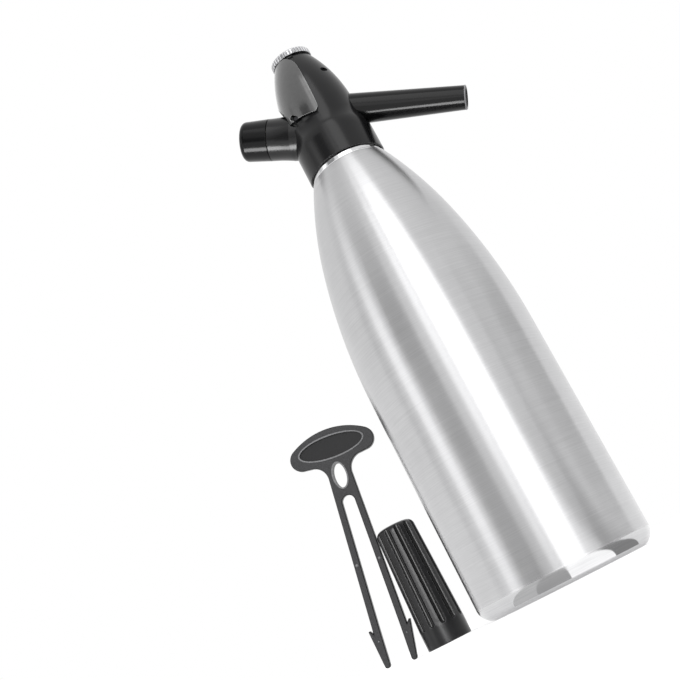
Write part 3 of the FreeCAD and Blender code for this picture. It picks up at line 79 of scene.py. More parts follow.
# %% Camera
CAMERA_PLACE = Vector((15, -574.5, 6)) * MM
LOOK_UP = math.radians(15.45)
LOOK_LEFT = math.radians(6.19)
CAMERA_TURN = math.radians(26.87)
FOCAL_LENGTH = 59.0
SENSOR_WIDTH = 36
NEAREST_SEEN = 10 * MM

forward = Vector((
    -math.sin(LOOK_LEFT) * math.cos(LOOK_UP),
    math.cos(LOOK_LEFT) * math.cos(LOOK_UP),
    math.sin(LOOK_UP),
))
level = Vector((math.cos(LOOK_LEFT), math.sin(LOOK_LEFT), 0))
upright = level.cross(forward)
camera_right = level * math.cos(CAMERA_TURN) - upright * math.sin(CAMERA_TURN)
camera_up = level * math.sin(CAMERA_TURN) + upright * math.cos(CAMERA_TURN)

camera = bpy.data.objects.new("camera", bpy.data.cameras.new("camera"))
camera.data.lens = FOCAL_LENGTH
camera.data.sensor_width = SENSOR_WIDTH
camera.data.clip_start = NEAREST_SEEN
camera.matrix_world = (Matrix.Translation(CAMERA_PLACE)
                       @ Matrix((camera_right, camera_up, -forward)).transposed().to_4x4())
bpy.context.scene.collection.objects.link(camera)
bpy.context.scene.camera = camera
bpy.context.scene.view_settings.view_transform = "Standard"
print("camera at", [round(c, 4) for c in camera.location])

# %% [markdown]
# ## Building a material
#
# A material is a network of nodes that ends in a shader.  It could be wired by hand in the node
# editor, but the same few steps come back in every finish, so two small tools do them.  `add`
# makes a node, gives it its settings, links its inputs and hands back the output that is wanted.
# `to_shader` links such an output to the shader.  Each finish below then reads as a short list of
# what its surface does.  What is the same all over a surface is set on the shader itself.
#
# An input goes by its name, or by an underscore and its number where names repeat.  A Mix node has
# a row of sockets for every kind of data: its colours are inputs 6 and 7 and output 2.

# %% Tools for nodes
MIX_COLOURS = {"data_type": "RGBA"}
MIX_RESULT = 2


def set_stops(elements, stops):
    """Gives a colour ramp its stops, each a position and a hex colour."""
    elements[0].position, elements[0].color = stops[0][0], colour(stops[0][1])
    elements[1].position, elements[1].color = stops[-1][0], colour(stops[-1][1])
    for position, hex_value in stops[1:-1]:
        elements.new(position).color = colour(hex_value)


def node_tools(tree, shader):
    """Two tools for a network: one adds a node to it, the other links an output to its shader."""

    def add(kind, settings=None, output=0, **inputs):
        """Adds a node, whose kind is the name of its type without ShaderNode in front."""
        node = tree.nodes.new("ShaderNode" + kind)
        for key, value in (settings or {}).items():
            if key == "stops":
                set_stops(node.color_ramp.elements, value)
            else:
                setattr(node, key, value)
        names = [socket.name for socket in node.inputs]
        for key, value in inputs.items():
            number = int(key[1:]) if key[1:].isdigit() else names.index(key.replace("_", " "))
            if isinstance(value, bpy.types.NodeSocket):
                tree.links.new(value, node.inputs[number])
            else:
                node.inputs[number].default_value = value
        return node.outputs[output]

    def to_shader(socket, output):
        tree.links.new(output, shader.inputs[socket])

    return add, to_shader


print("a Mix node for colours gives them back as output", MIX_RESULT)

# %% New materials


def new_material(name, **principled):
    """A material whose Principled shader has these settings, and the two tools for it."""
    material = bpy.data.materials.new(name)
    material.use_nodes = True
    shader = material.node_tree.nodes["Principled BSDF"]
    for socket, value in principled.items():
        shader.inputs[socket.replace("_", " ")].default_value = value
    return (material, *node_tools(material.node_tree, shader))


print("materials before the first finish:", len(bpy.data.materials))

# %% [markdown]
# ## Patterns that the finishes share
#
# No real surface is quite even.  Its grain could come from a picture, but noise has no seam and
# no end, so every finish here uses noise, with grains measured in millimetres.  It is laid out on
# the piece's own axes, so it stays put when the piece moves.
#
# No machined or moulded edge is perfectly sharp either.  It could be rounded in the mesh, but for
# a small fraction of a millimetre it is enough to round the shading with a bevel node, and each
# edge then catches a thin line of light.  The rounded normal leans away from the true one only
# near an edge, so the dot product of the two finds the edges of any piece.
#
# Round pieces need a third pattern, which is the distance of each point from their axis.

# %% Shared patterns
EDGE_SAMPLES = 4
EDGE_STARTS, EDGE_FULL = 0.93, 0.7


def grain(add, size_mm, stretch=(1, 1, 1), detail=3.0):
    """Noise whose grains are about size_mm across, stretched along the piece's own axes."""
    place = add("TexCoord", output="Object")
    scale = [1 / (size_mm * MM * s) for s in stretch]
    mapped = add("Mapping", Vector=place, Scale=scale)
    return add("TexNoise", output="Fac", Vector=mapped, Scale=1.0, Detail=detail)


def near_edge(add, width_mm):
    """A normal that rounds the edges, and a mask: 1 on an edge and 0 away from it."""
    rounded = add("Bevel", {"samples": EDGE_SAMPLES}, Radius=width_mm * MM)
    true = add("NewGeometry", output="Normal")
    agree = add("VectorMath", {"operation": "DOT_PRODUCT"}, "Value", _0=rounded, _1=true)
    mask = add("MapRange", Value=agree, From_Min=EDGE_FULL, From_Max=EDGE_STARTS,
               To_Min=1.0, To_Max=0.0)
    return rounded, mask


def round_axis(add, x_mm=0, y_mm=0):
    """Distance from an upright axis, and height above the floor."""
    place = add("TexCoord", output="Object")
    centred = add("Mapping", Vector=place, Location=(-x_mm * MM, -y_mm * MM, 0))
    flat = add("VectorMath", {"operation": "MULTIPLY"}, _0=centred, _1=(1, 1, 0))
    distance = add("VectorMath", {"operation": "LENGTH"}, "Value", _0=flat)
    return distance, add("SeparateXYZ", output="Z", Vector=place)


print("an edge shows where its normal leans by more than",
      round(math.degrees(math.acos(EDGE_STARTS))), "degrees")

# %% [markdown]
# ## Brushed aluminium: the bottle
#
# The bottle is drawn from an aluminium slug, spun on a lathe and brushed while it turns.  The
# brush leaves fine scratches that run round the bottle.  Light spreads across scratches, not
# along them, so each lamp becomes a tall bright band, while the bands keep fairly crisp sides.
# Scratches could be cut as bumps alone, but real ones are finer than a pixel.  Anisotropy gives
# their highlight without them: long in one direction and narrow in the other.  The tangent runs
# round the bottle, and the quarter turn points the long side up and down.
#
# The scratches that are drawn besides are 0.35 mm wide and some 25 mm long, which is coarser than
# the real ones, so that they show.  The rounded corner at the foot is out of the brush's reach, so
# it keeps the smooth face of the spinning: there the scratches end and the roughness falls, by
# height above the floor.

# %% Brushed aluminium
SCRATCH_MM, SCRATCH_STRETCH = 0.35, 70
CLOUD_MM = 14
BRUSH_REACH = {"From_Min": 7 * MM, "From_Max": 9 * MM}
dressed = set()


def dress(material, *names):
    """Gives a finish to pieces."""
    for name in names:
        nodes[name].data.materials.clear()
        nodes[name].data.materials.append(material)
    dressed.update(names)
    print(material.name, "on", ", ".join(names))


bottle_metal, add, to_shader = new_material("brushed_aluminium", Metallic=1.0,
                                            Anisotropic_Rotation=0.25)
to_shader("Tangent", add("Tangent", {"direction_type": "RADIAL", "axis": "Z"}))
scratches = grain(add, SCRATCH_MM, (SCRATCH_STRETCH, SCRATCH_STRETCH, 1), 4.0)
clouds = add("MapRange", Value=grain(add, CLOUD_MM, (1, 1, 2.5), 2.0), To_Min=0.0, To_Max=0.3)
marks = add("Math", {"operation": "MULTIPLY_ADD"}, _0=scratches, _1=0.7, _2=clouds)
to_shader("Base Color", add("ValToRGB", {"stops": [(0.25, "#bdbdbe"), (0.75, "#d0d0d1")]},
                            Fac=marks))
height = add("SeparateXYZ", output="Z", Vector=add("TexCoord", output="Object"))
to_shader("Anisotropic", add("MapRange", Value=height, To_Min=0.0, To_Max=0.95, **BRUSH_REACH))
brushed = add("MapRange", Value=height, To_Min=0.5, To_Max=1.0, **BRUSH_REACH)
dull = add("MapRange", Value=marks, To_Min=0.26, To_Max=0.36)
to_shader("Roughness", add("Math", {"operation": "MULTIPLY"}, _0=dull, _1=brushed))
relief = add("MapRange", Value=brushed, From_Min=0.5, To_Min=0.0, To_Max=0.035)
to_shader("Normal", add("Bump", Height=scratches, Strength=relief, Distance=0.1 * MM))
dress(bottle_metal, "bottle_shell")

# %% [markdown]
# ## Bright metals: the collar, the lever and the works inside
#
# These pieces differ in colour and gloss but are made alike, turned, pressed or drawn from solid
# metal.  Each could have a network of its own, but one recipe serves them all: two near tones
# that follow a fine grain, a gloss that wanders with it, and edges painted brighter as a
# highlight, the thin line of light that a rounded edge catches.
#
# The real grain is a few hundredths of a millimetre, too fine to show, so it is drawn some tenths
# of a millimetre coarse, and 2 mm on the lever.
#
# - Polished aluminium, on the collar: pale, and smooth enough to mirror the room.
# - Metal under a clear lacquer, on the lever: a mid grey that shines where it is seen at a slant.
# - Nickelled brass, in the port: a pale grey with a little of the brass's warmth.
# - Ground steel and blackened steel, the pins: an even satin grey, and a dull near black.
# - Drawn spring wire: a darker grey with a soft shine.
# - Turned brass, the valve: yellow, with the satin face that a cutting tool leaves.

# %% Bright metals


def plain_metal(name, low, high, edge_highlight, roughness, grain_mm=0.6, spread=0.05, edge_mm=0.15,
                **principled):
    """A metal between two hex colours, with a third painted on its softened edges as a highlight.
    """
    material, add, to_shader = new_material(name, Metallic=1.0, **principled)
    fine = grain(add, grain_mm)
    rounded, edge = near_edge(add, edge_mm)
    face = add("ValToRGB", {"stops": [(0.3, low), (0.7, high)]}, Fac=fine)
    # The edge mask paints the third colour on the edges as a painted highlight.
    to_shader("Base Color", add("Mix", MIX_COLOURS, MIX_RESULT, _0=edge, _6=face,
                                _7=colour(edge_highlight)))
    to_shader("Roughness", add("MapRange", Value=fine, To_Min=roughness - spread,
                               To_Max=roughness + spread))
    to_shader("Normal", add("Bump", Height=fine, Strength=0.02, Distance=0.05 * MM,
                            Normal=rounded))
    return material


collar_metal = plain_metal("polished_aluminium", "#d0d0d1", "#d8d8d9", "#e4e4e5", 0.1, 0.3)
seat_metal = plain_metal("nickelled_brass", "#b9b6ae", "#c6c3bb", "#d2cfc8", 0.2)
dress(collar_metal, "neck_collar")
dress(seat_metal, "charger_seat")
# The lever's pale edge colour is a painted highlight on its rims.
dress(plain_metal("lacquered_metal", "#484848", "#4e4e4e", "#cfcfcf", 0.25, grain_mm=2.0,
                  spread=0.02, edge_mm=0.5, Coat_Weight=1.0, Coat_Roughness=0.12, Coat_IOR=1.65),
      "lever")
dress(plain_metal("ground_steel", "#8a8a8c", "#98989a", "#b0b0b2", 0.25), "piercing_pin")
dress(plain_metal("blackened_steel", "#2b2b2d", "#343436", "#4a4a4c", 0.4),
      "lever_pivot_pin", "lever_stop_pins")
dress(plain_metal("spring_wire", "#77777a", "#858588", "#9a9a9c", 0.3), "valve_spring")
dress(plain_metal("turned_brass", "#b8975a", "#c9a868", "#dcc088", 0.25),
      "valve_seat", "stem_bush", "valve_stem", "spring_cup")

# %% [markdown]
# ## Chrome plate: the fluted cap on top
#
# The cap is plated and buffed on a wheel, so it mirrors the room where the wheel reaches.  It
# doesn't reach into the flutes, so they are rougher, and they are painted dark as shade.  The
# flutes could be painted on a map of the cap, but their place is known: they lie just inside the
# cap's radius and below the edge of its top.  The distance from the axis and the height give that
# as a mask.

# %% Chrome plate
CAP_RADIUS, CAP_TOP = 12, 326
SUNK = {"From_Min": (CAP_RADIUS - 0.55) * MM, "From_Max": (CAP_RADIUS - 0.12) * MM}
OUTER = {"From_Min": (CAP_RADIUS - 1.1) * MM, "From_Max": (CAP_RADIUS - 0.9) * MM}
BELOW_TOP = {"From_Min": (CAP_TOP - 1.1) * MM, "From_Max": (CAP_TOP - 0.7) * MM}

chrome, add, to_shader = new_material("chrome_plate", Metallic=1.0)
distance, height = round_axis(add)
sunk = add("MapRange", Value=distance, To_Min=1.0, To_Max=0.0, **SUNK)
outer = add("MapRange", Value=distance, To_Min=0.0, To_Max=1.0, **OUTER)
side = add("MapRange", Value=height, To_Min=1.0, To_Max=0.0, **BELOW_TOP)
ring = add("Math", {"operation": "MULTIPLY"}, _0=sunk, _1=outer)
flute = add("Math", {"operation": "MULTIPLY"}, _0=ring, _1=side)
bright = add("ValToRGB", {"stops": [(0.3, "#bcbcbe"), (0.7, "#c8c8ca")]}, Fac=grain(add, 0.5))
# The flutes get a near-black colour: painted shade in the grooves.
to_shader("Base Color", add("Mix", MIX_COLOURS, MIX_RESULT, _0=flute, _6=bright,
                            _7=colour("#2c2c2e")))
to_shader("Roughness", add("MapRange", Value=flute, To_Min=0.11, To_Max=0.3))
to_shader("Normal", add("Bevel", {"samples": EDGE_SAMPLES}, Radius=0.15 * MM))
dress(chrome, "top_cap")

# %% [markdown]
# ## Mouldings: the black plastics, polythene and rubber
#
# The head, spout and port cap are injection moulded in black plastic from polished tools.  Such a
# surface is smooth, but it cools unevenly, so its reflections waver slightly: that is a very
# shallow bump a few millimetres across, under a fine texture that dulls the gloss.  One bump could
# carry both, but they differ so much in size that two in a row are easier to tune.  The texture is
# drawn 0.5 mm coarse, because the real one is too fine to show.  The edges are painted paler here
# too, as a painted highlight.  The greys are almost black, because most of what the eye sees on
# black plastic is reflected light.
#
# - The head has a satin gloss, and the port cap and the spout are glossier.
# - Natural polythene, the riser tube, is milky and waxy, with no clear highlight.
# - Black rubber, the seals, is matt, so a light leaves only a wide dim patch on it.

# %% Mouldings
SINK_MM, SINK_STRENGTH = 9, 0.015
TEXTURE_MM = 0.5


def moulded_plastic(name, low, high, edge_highlight, roughness, edge_mm=0.25, gloss=0.5):
    """A moulding between two hex colours, with a third painted on its edges as a highlight."""
    material, add, to_shader = new_material(name, Specular_IOR_Level=gloss)
    fine = grain(add, TEXTURE_MM, detail=4.0)
    sink = grain(add, SINK_MM, detail=1.0)
    rounded, edge = near_edge(add, edge_mm)
    face = add("ValToRGB", {"stops": [(0.35, low), (0.65, high)]}, Fac=fine)
    # The edge mask paints the third colour on the edges as a painted highlight.
    to_shader("Base Color", add("Mix", MIX_COLOURS, MIX_RESULT, _0=edge, _6=face,
                                _7=colour(edge_highlight)))
    to_shader("Roughness", add("MapRange", Value=fine, To_Min=roughness - 0.04,
                               To_Max=roughness + 0.04))
    slow = add("Bump", Height=sink, Strength=SINK_STRENGTH, Distance=1 * MM, Normal=rounded)
    to_shader("Normal", add("Bump", Height=fine, Strength=0.02, Distance=0.1 * MM, Normal=slow))
    return material


dress(moulded_plastic("black_moulding", "#08080a", "#0c0c0d", "#1c1c1d", 0.22, gloss=0.35),
      "head_housing")
dress(moulded_plastic("gloss_black_moulding", "#060607", "#0a0a0b", "#161617", 0.16, gloss=0.21),
      "port_cap")
# The spout's pale grey edge colour is a painted highlight on its black rims.
dress(moulded_plastic("spout_moulding", "#060607", "#0a0a0b", "#8a8a8c", 0.16, edge_mm=0.4,
                      gloss=0.24), "spout")
dress(moulded_plastic("natural_polythene", "#d9d9d0", "#e2e2da", "#e6e6df", 0.45),
      "riser_tube", "tube_holder")
dress(moulded_plastic("black_rubber", "#161616", "#1e1e1e", "#232323", 0.6),
      "head_gasket", "tube_seal", "spout_seal", "port_seal", "check_valve", "stem_seal",
      "valve_washer", "cap_liner", "holder_pad")

# %% [markdown]
# ## The charger holder
#
# Twelve flutes give the fingers a grip on the holder, which is moulded in black plastic.  Their
# floors aren't touched, so they keep the gloss of the mould, and they are painted black as shade,
# while the lands between them are rubbed to a soft shine and have their edges painted pale as a
# highlight.  The flutes could be told apart by their angle round the axis, but depth is simpler
# and fades at their ends by itself.  How deep a point lies is the difference between the holder's
# tapered outside and the point's distance from its axis.

# %% Charger holder
HOLDER_X, HOLDER_Y = -77, 75
HOLDER_COLLAR, HOLDER_LENGTH = 10.6, 72.6
HOLDER_MOUTH, HOLDER_END = 13.5, 11.75

holder_plastic, add, to_shader = new_material("holder_moulding", Specular_IOR_Level=0.4)
fine = grain(add, 0.4, detail=4.0)
distance, height = round_axis(add, HOLDER_X, HOLDER_Y)
outside = add("MapRange", Value=height, From_Min=HOLDER_COLLAR * MM, From_Max=HOLDER_LENGTH * MM,
              To_Min=HOLDER_MOUTH * MM, To_Max=HOLDER_END * MM)
below = add("Math", {"operation": "SUBTRACT"}, _0=outside, _1=distance)
depth = add("MapRange", Value=below, From_Min=0.15 * MM, From_Max=0.8 * MM)
rounded, edge = near_edge(add, 0.5)
face = add("ValToRGB", {"stops": [(0.35, "#111112"), (0.65, "#18181a")]}, Fac=fine)
# The lands' edges get a pale grey: a painted highlight.
land = add("Mix", MIX_COLOURS, MIX_RESULT, _0=edge, _6=face, _7=colour("#8c8c8f"))
# The flute floors get near black: painted shade in the grooves.
to_shader("Base Color", add("Mix", MIX_COLOURS, MIX_RESULT, _0=depth, _6=land,
                            _7=colour("#020202")))
rubbed = add("MapRange", Value=fine, To_Min=0.26, To_Max=0.32)
untouched = add("MapRange", Value=depth, To_Min=0.0, To_Max=0.12)
to_shader("Roughness", add("Math", {"operation": "SUBTRACT"}, _0=rubbed, _1=untouched))
to_shader("Normal", add("Bump", Height=fine, Strength=0.03, Distance=0.1 * MM, Normal=rounded))
dress(holder_plastic, "charger_holder")

# %% [markdown]
# ## The key
#
# The key is moulded flat, in a hard plastic.  Its two faces have the fine texture of a sparked
# mould and are grey, thin rims stand proud of them round the panel and the eye and are painted
# pale as a highlight, and the bevels and the sides are painted darker as shade.  Each of these
# could be a material of its own, but all of it depends only on how far a point is from the key's
# middle plane, so one ramp over that distance colours them all.

# %% Key
KEY_PLANE = 75
KEY_LEVELS = {"From_Min": 1 * MM, "From_Max": 2.5 * MM}
# The ramp paints the bevels and sides darker as shade and the rims pale as a highlight, round the
# grey faces.
KEY_GREYS_SHADE_AND_HIGHLIGHT = [(0.17, "#1c1c1e"), (0.28, "#0b0b0c"), (0.6, "#0b0b0c"), (0.65, "#454547"),
               (0.71, "#454547"), (0.8, "#9a9a9c")]

key_plastic, add, to_shader = new_material("key_moulding", Specular_IOR_Level=0.45)
fine = grain(add, 0.35, detail=4.0)
across = add("SeparateXYZ", output="Y", Vector=add("TexCoord", output="Object"))
from_plane = add("Math", {"operation": "SUBTRACT"}, _0=across, _1=KEY_PLANE * MM)
out = add("Math", {"operation": "ABSOLUTE"}, _0=from_plane)
levels = add("ValToRGB", {"stops": KEY_GREYS_SHADE_AND_HIGHLIGHT}, Fac=add("MapRange", Value=out, **KEY_LEVELS))
speckle = add("ValToRGB", {"stops": [(0.3, "#a4a4a4"), (0.7, "#ffffff")]}, Fac=fine)
to_shader("Base Color", add("Mix", {**MIX_COLOURS, "blend_type": "MULTIPLY"}, MIX_RESULT,
                            _0=1.0, _6=levels, _7=speckle))
to_shader("Roughness", add("MapRange", Value=fine, To_Min=0.32, To_Max=0.42))
rounded = add("Bevel", {"samples": EDGE_SAMPLES}, Radius=0.2 * MM)
to_shader("Normal", add("Bump", Height=fine, Strength=0.05, Distance=0.1 * MM, Normal=rounded))
dress(key_plastic, "fork_key")
print("pieces without a finish:", sorted(set(nodes) - dressed))

# %% [markdown]
# ## New pieces
#
# The construction leaves out the smallest forms: screw threads, the lip of the spout and the nubs
# on the key.  They could be painted on as bumps, but a bump has no outline, so each becomes a
# piece with a shape of its own.  It is modelled where it belongs, so the object itself stays at
# the origin, and then it rides on the body that it is part of.

# %% New pieces


def piece(name, shape, body, material, smooth=False):
    """Makes a bmesh into a finished object, which rides on a body of the siphon."""
    for face in shape.faces:
        face.smooth = smooth
    mesh = bpy.data.meshes.new(name)
    shape.to_mesh(mesh)
    shape.free()
    mesh.materials.append(material)
    item = bpy.data.objects.new(name, mesh)
    bpy.context.scene.collection.objects.link(item)
    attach(item, body)
    print(name, len(mesh.polygons), "faces")


# %% [markdown]
# ## Screw threads
#
# The head screws onto the collar, and the cap onto the port, so both carry a thread that shows
# when they are taken apart.  A thread is one small triangle swept along a helix.  A Screw
# modifier could do that, but a spin with a step along its axis does the same in the mesh, so
# nothing is left live.

# %% Collar thread
THREAD_FOOT = 0.28
THREAD_STEPS = 48


def thread(radius, low, high, pitch, relief):
    """A helical ridge on a cylinder along Z, from low to high."""
    turns = (high - low) / pitch - 1
    foot = pitch * THREAD_FOOT
    corners = [(radius - relief, 0, low), (radius + relief, 0, low + foot),
               (radius - relief, 0, low + 2 * foot)]
    shape = bmesh.new()
    start = shape.faces.new([shape.verts.new(Vector(corner) * MM) for corner in corners])
    bmesh.ops.spin(shape, geom=[start, *start.edges, *start.verts], cent=(0, 0, 0),
                   axis=(0, 0, 1), dvec=(0, 0, pitch * MM / THREAD_STEPS),
                   angle=math.tau * turns, steps=round(THREAD_STEPS * turns),
                   use_duplicate=False)
    bmesh.ops.recalc_face_normals(shape, faces=shape.faces)
    return shape


collar_thread = thread(radius=18, low=254, high=264.6, pitch=3, relief=0.25)
piece("collar_thread", collar_thread, "bottle", collar_metal)

# %% [markdown]
# ## The thread on the port
#
# The port leans out of the head, so its thread is made upright like the collar's and then turned
# into place.  It could be built along the port from the start, but a simple shape that is moved
# as a whole is easier to check.  The move is done in the mesh, so the object stays unturned.

# %% Port thread
PORT_SLOPE = math.radians(26.2)
PORT_CROSS = Vector((0, 0, 272.9)) * MM
port_frame = Matrix.Translation(PORT_CROSS) @ Matrix.Rotation(PORT_SLOPE - math.pi / 2, 4, "Y")
port_thread = thread(radius=9.8, low=36, high=44.4, pitch=1.8, relief=0.22)
bmesh.ops.transform(port_thread, matrix=port_frame, verts=port_thread.verts)
piece("port_thread", port_thread, "head", seat_metal)

# %% [markdown]
# ## The lip of the spout
#
# The spout ends in a fine moulded lip round its mouth, a bead that stands 0.2 mm proud and is
# painted pale grey as a highlight.  A torus would do, but a bmesh has none, so a small circle is
# spun once round the spout's axis.  The full spin merges its two ends.

# %% Spout lip
SPOUT_SLOPE = math.radians(25.5)
SPOUT_CROSS = Vector((0, 0, 288.4)) * MM
LIP_REACH, LIP_RADIUS, BEAD_RADIUS = 82.95, 6.45, 0.4

lip_frame = (Matrix.Translation(SPOUT_CROSS) @ Matrix.Rotation(SPOUT_SLOPE + math.pi / 2, 4, "Y")
             @ Matrix.Translation((0, 0, LIP_REACH * MM)))
bead_frame = Matrix.Translation((LIP_RADIUS * MM, 0, 0)) @ Matrix.Rotation(math.pi / 2, 4, "X")
lip = bmesh.new()
bmesh.ops.create_circle(lip, segments=10, radius=BEAD_RADIUS * MM, matrix=bead_frame)
bmesh.ops.spin(lip, geom=[*lip.verts, *lip.edges], cent=(0, 0, 0), axis=(0, 0, 1),
               dvec=(0, 0, 0), angle=math.tau, steps=72, use_merge=True, use_duplicate=False)
bmesh.ops.recalc_face_normals(lip, faces=lip.faces)
bmesh.ops.transform(lip, matrix=lip_frame, verts=lip.verts)
# The lip is painted pale grey as a highlight on the black spout.
lip_finish = moulded_plastic("lip_highlight", "#7c7c7e", "#88888a", "#98989a", 0.3)
piece("spout_lip", lip, "head", lip_finish, smooth=True)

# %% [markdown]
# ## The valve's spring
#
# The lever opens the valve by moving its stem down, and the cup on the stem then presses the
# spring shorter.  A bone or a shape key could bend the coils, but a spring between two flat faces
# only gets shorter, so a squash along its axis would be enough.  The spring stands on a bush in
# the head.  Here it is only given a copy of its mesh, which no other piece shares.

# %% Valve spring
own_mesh(nodes["valve_spring"])

# %% [markdown]
# ## Nubs on the key
#
# Half way down each prong the moulding tool leaves a small nub, and each barb has a smaller one.
# Each is half a squashed ball on both faces of the prong.  Two half balls could be set on the
# faces, but one ball that is pressed flat and runs through the prong makes both at once.

# %% Key nubs
KEY_LEAN = math.radians(8)
KEY_FOOT = Vector((-107.357, 75, 1.144)) * MM
PRONG_OUT, PRONG_NUB = 7.05, {"up": 60, "width": 3, "thickness": 5.4}
BARB_OUT, BARB_NUB = 8.6, {"up": 15.6, "width": 2, "thickness": 5}
key_frame = Matrix.Translation(KEY_FOOT) @ Matrix.Rotation(KEY_LEAN, 4, "Y")


def nub(across, up, width, thickness):
    """A squashed ball that stands out of both faces of the key."""
    shape = bmesh.new()
    bmesh.ops.create_uvsphere(shape, u_segments=20, v_segments=12, radius=1)
    size = Matrix.Diagonal((width / 2 * MM, thickness / 2 * MM, width / 2 * MM, 1))
    place = Matrix.Translation(Vector((across, 0, up)) * MM)
    bmesh.ops.transform(shape, matrix=key_frame @ place @ size, verts=shape.verts)
    return shape


for side, way in (("left", -1), ("right", 1)):
    piece(f"{side}_prong_nub", nub(way * PRONG_OUT, **PRONG_NUB), "fork_key", key_plastic,
          smooth=True)
    piece(f"{side}_barb_nub", nub(way * BARB_OUT, **BARB_NUB), "fork_key", key_plastic,
          smooth=True)

# %% [markdown]
# ## The studio: a ring round the siphon
#
# A polished bottle is a mirror, so lighting it means choosing what it reflects.  A cylinder
# shows the whole room as upright bands: each band's place depends only on the direction that it
# comes from.  Lights and cards could stand anywhere, but in a ring a direction and a width in
# degrees say all that matters, and those can be read off the bands.  Directions are degrees round
# from the camera, to its right.

# %% A ring round the siphon
RING = 1.6
UP = Vector((0, 0, 1))


def stand(name, data, turn, middle):
    """Places an upright light or card in the ring, facing the siphon."""
    angle = math.radians(turn)
    place = Vector((math.sin(angle) * RING, -math.cos(angle) * RING, middle))
    facing = Vector((place.x, place.y, 0)).normalized()
    axes = Matrix((UP.cross(facing), UP, facing)).transposed().to_4x4()
    item = bpy.data.objects.new(name, data)
    item.matrix_world = Matrix.Translation(place) @ axes
    item.visible_camera = False
    bpy.context.scene.collection.objects.link(item)
    print(name, "stands at", turn, "degrees")
    return item


def ring_width(degrees):
    """Width in metres of what spans so many degrees of the ring."""
    return 2 * RING * math.tan(math.radians(degrees / 2))


print("the ring is", 2 * RING, "m across; 10 degrees of it span", round(ring_width(10), 2), "m")

# %% [markdown]
# ## The studio: softboxes
#
# Bright bands are softboxes.  A picture of a studio round the scene could light it too, but area
# lights can be moved one by one until each band lies right.  The shoulder looks up, so a band
# stops there where its softbox ends.

# %% Softboxes


def light(name, width, height, brightness):
    """A soft rectangular light in metres; 1 is as bright as white paper."""
    data = bpy.data.lights.new(name, "AREA")
    data.shape = "RECTANGLE"
    data.size = width
    data.size_y = height
    data.energy = brightness * math.pi * width * height
    return data


def softbox(name, turn, degrees, low, high, brightness):
    """A soft light in the ring, between two heights in metres."""
    data = light(name, ring_width(degrees), high - low, brightness)
    return stand(name, data, turn, (low + high) / 2)


softbox("key_softbox", turn=19, degrees=30, low=0, high=2.6, brightness=1.65)
softbox("edge_softbox", turn=-3, degrees=9, low=0, high=2.6, brightness=1.05)
softbox("fill_softbox", turn=-60, degrees=13, low=0, high=1.0, brightness=0.95)

# %% [markdown]
# ## The studio: grey cards
#
# Dark bands are grey cards between the softboxes.  A black cloth behind everything would darken
# the whole bottle, but a card darkens only the band that it stands in.  Each card glows with the
# grey that it should show, so its tone doesn't depend on the lights, and only reflections see it.

# %% Grey cards


def card_mesh(name, shape, grey):
    """The mesh of a card that glows with a grey."""
    mesh = bpy.data.meshes.new(name)
    shape.to_mesh(mesh)
    shape.free()
    material = new_material(name, Roughness=1.0, Emission_Strength=1.0, Base_Color=(0, 0, 0, 1),
                            Emission_Color=(grey, grey, grey, 1))[0]
    mesh.materials.append(material)
    return mesh


def only_for_gloss(card):
    """Leaves a card in reflections only: no camera sees it, and it casts no light or shadow."""
    card.visible_camera = card.visible_diffuse = card.visible_shadow = False


def grey_card(name, turn, degrees, low, high, grey):
    """A card in the ring, between two heights in metres."""
    shape = bmesh.new()
    bmesh.ops.create_grid(shape, x_segments=1, y_segments=1, size=0.5)
    bmesh.ops.scale(shape, vec=(ring_width(degrees), high - low, 1), verts=shape.verts)
    only_for_gloss(stand(name, card_mesh(name, shape, grey), turn, (low + high) / 2))


grey_card("left_card", turn=-34, degrees=27, low=0, high=1.25, grey=0.33)
grey_card("thin_card", turn=-79, degrees=10, low=0, high=1.4, grey=0.75)
grey_card("right_card", turn=68, degrees=25, low=0, high=0.65, grey=0.6)
grey_card("far_right_card", turn=96, degrees=31, low=0, high=0.65, grey=0.42)

# %% [markdown]
# ## The studio: cards on the floor
#
# The rounded corner at the foot looks down, so it reflects the floor close by.  Without anything
# there it would show plain white under the bands of the wall.  Cards on the floor carry those
# bands round the corner.  Each is an edge that is spun a part of a turn round the siphon, which
# gives it the bottle's own curve.  They start just under the bottle, where the corner leaves the
# floor.

# %% Cards on the floor
FLOOR_CARD_NEAR, FLOOR_CARD_FAR = 44.5, 300


def floor_card(name, start, end, grey):
    """A card on the floor between two directions."""
    angle = math.radians(start)
    shape = bmesh.new()
    ends = [shape.verts.new(Vector((math.sin(angle) * reach, -math.cos(angle) * reach, 1)) * MM)
            for reach in (FLOOR_CARD_NEAR, FLOOR_CARD_FAR)]
    edge = shape.edges.new(ends)
    bmesh.ops.spin(shape, geom=[edge, *ends], cent=(0, 0, 0), axis=(0, 0, 1), dvec=(0, 0, 0),
                   angle=math.radians(end - start), steps=12, use_duplicate=False)
    card = bpy.data.objects.new(name, card_mesh(name, shape, grey))
    bpy.context.scene.collection.objects.link(card)
    only_for_gloss(card)
    print(name, "lies from", start, "to", end, "degrees")


floor_card("soft_floor_card", start=-38, end=-19, grey=0.74)
floor_card("left_floor_card", start=-19, end=4, grey=0.54)
floor_card("front_floor_card", start=4, end=36, grey=1.6)
floor_card("right_floor_card", start=36, end=60, grey=0.33)

# %% [markdown]
# ## Lights for the black pieces only
#
# Black plastic shows little but its highlights.  The cap, the boss and the spout are round, and
# seen from below they reflect the floor to the left of the siphon, so a bright strip lying there
# draws one crisp line along each of them.  A narrow upright strip does the same for the holder's
# lands.  In a studio a small black board, a flag, would keep both off the bottle.  Light linking
# is Blender's flag: a light reaches only the pieces in one collection.

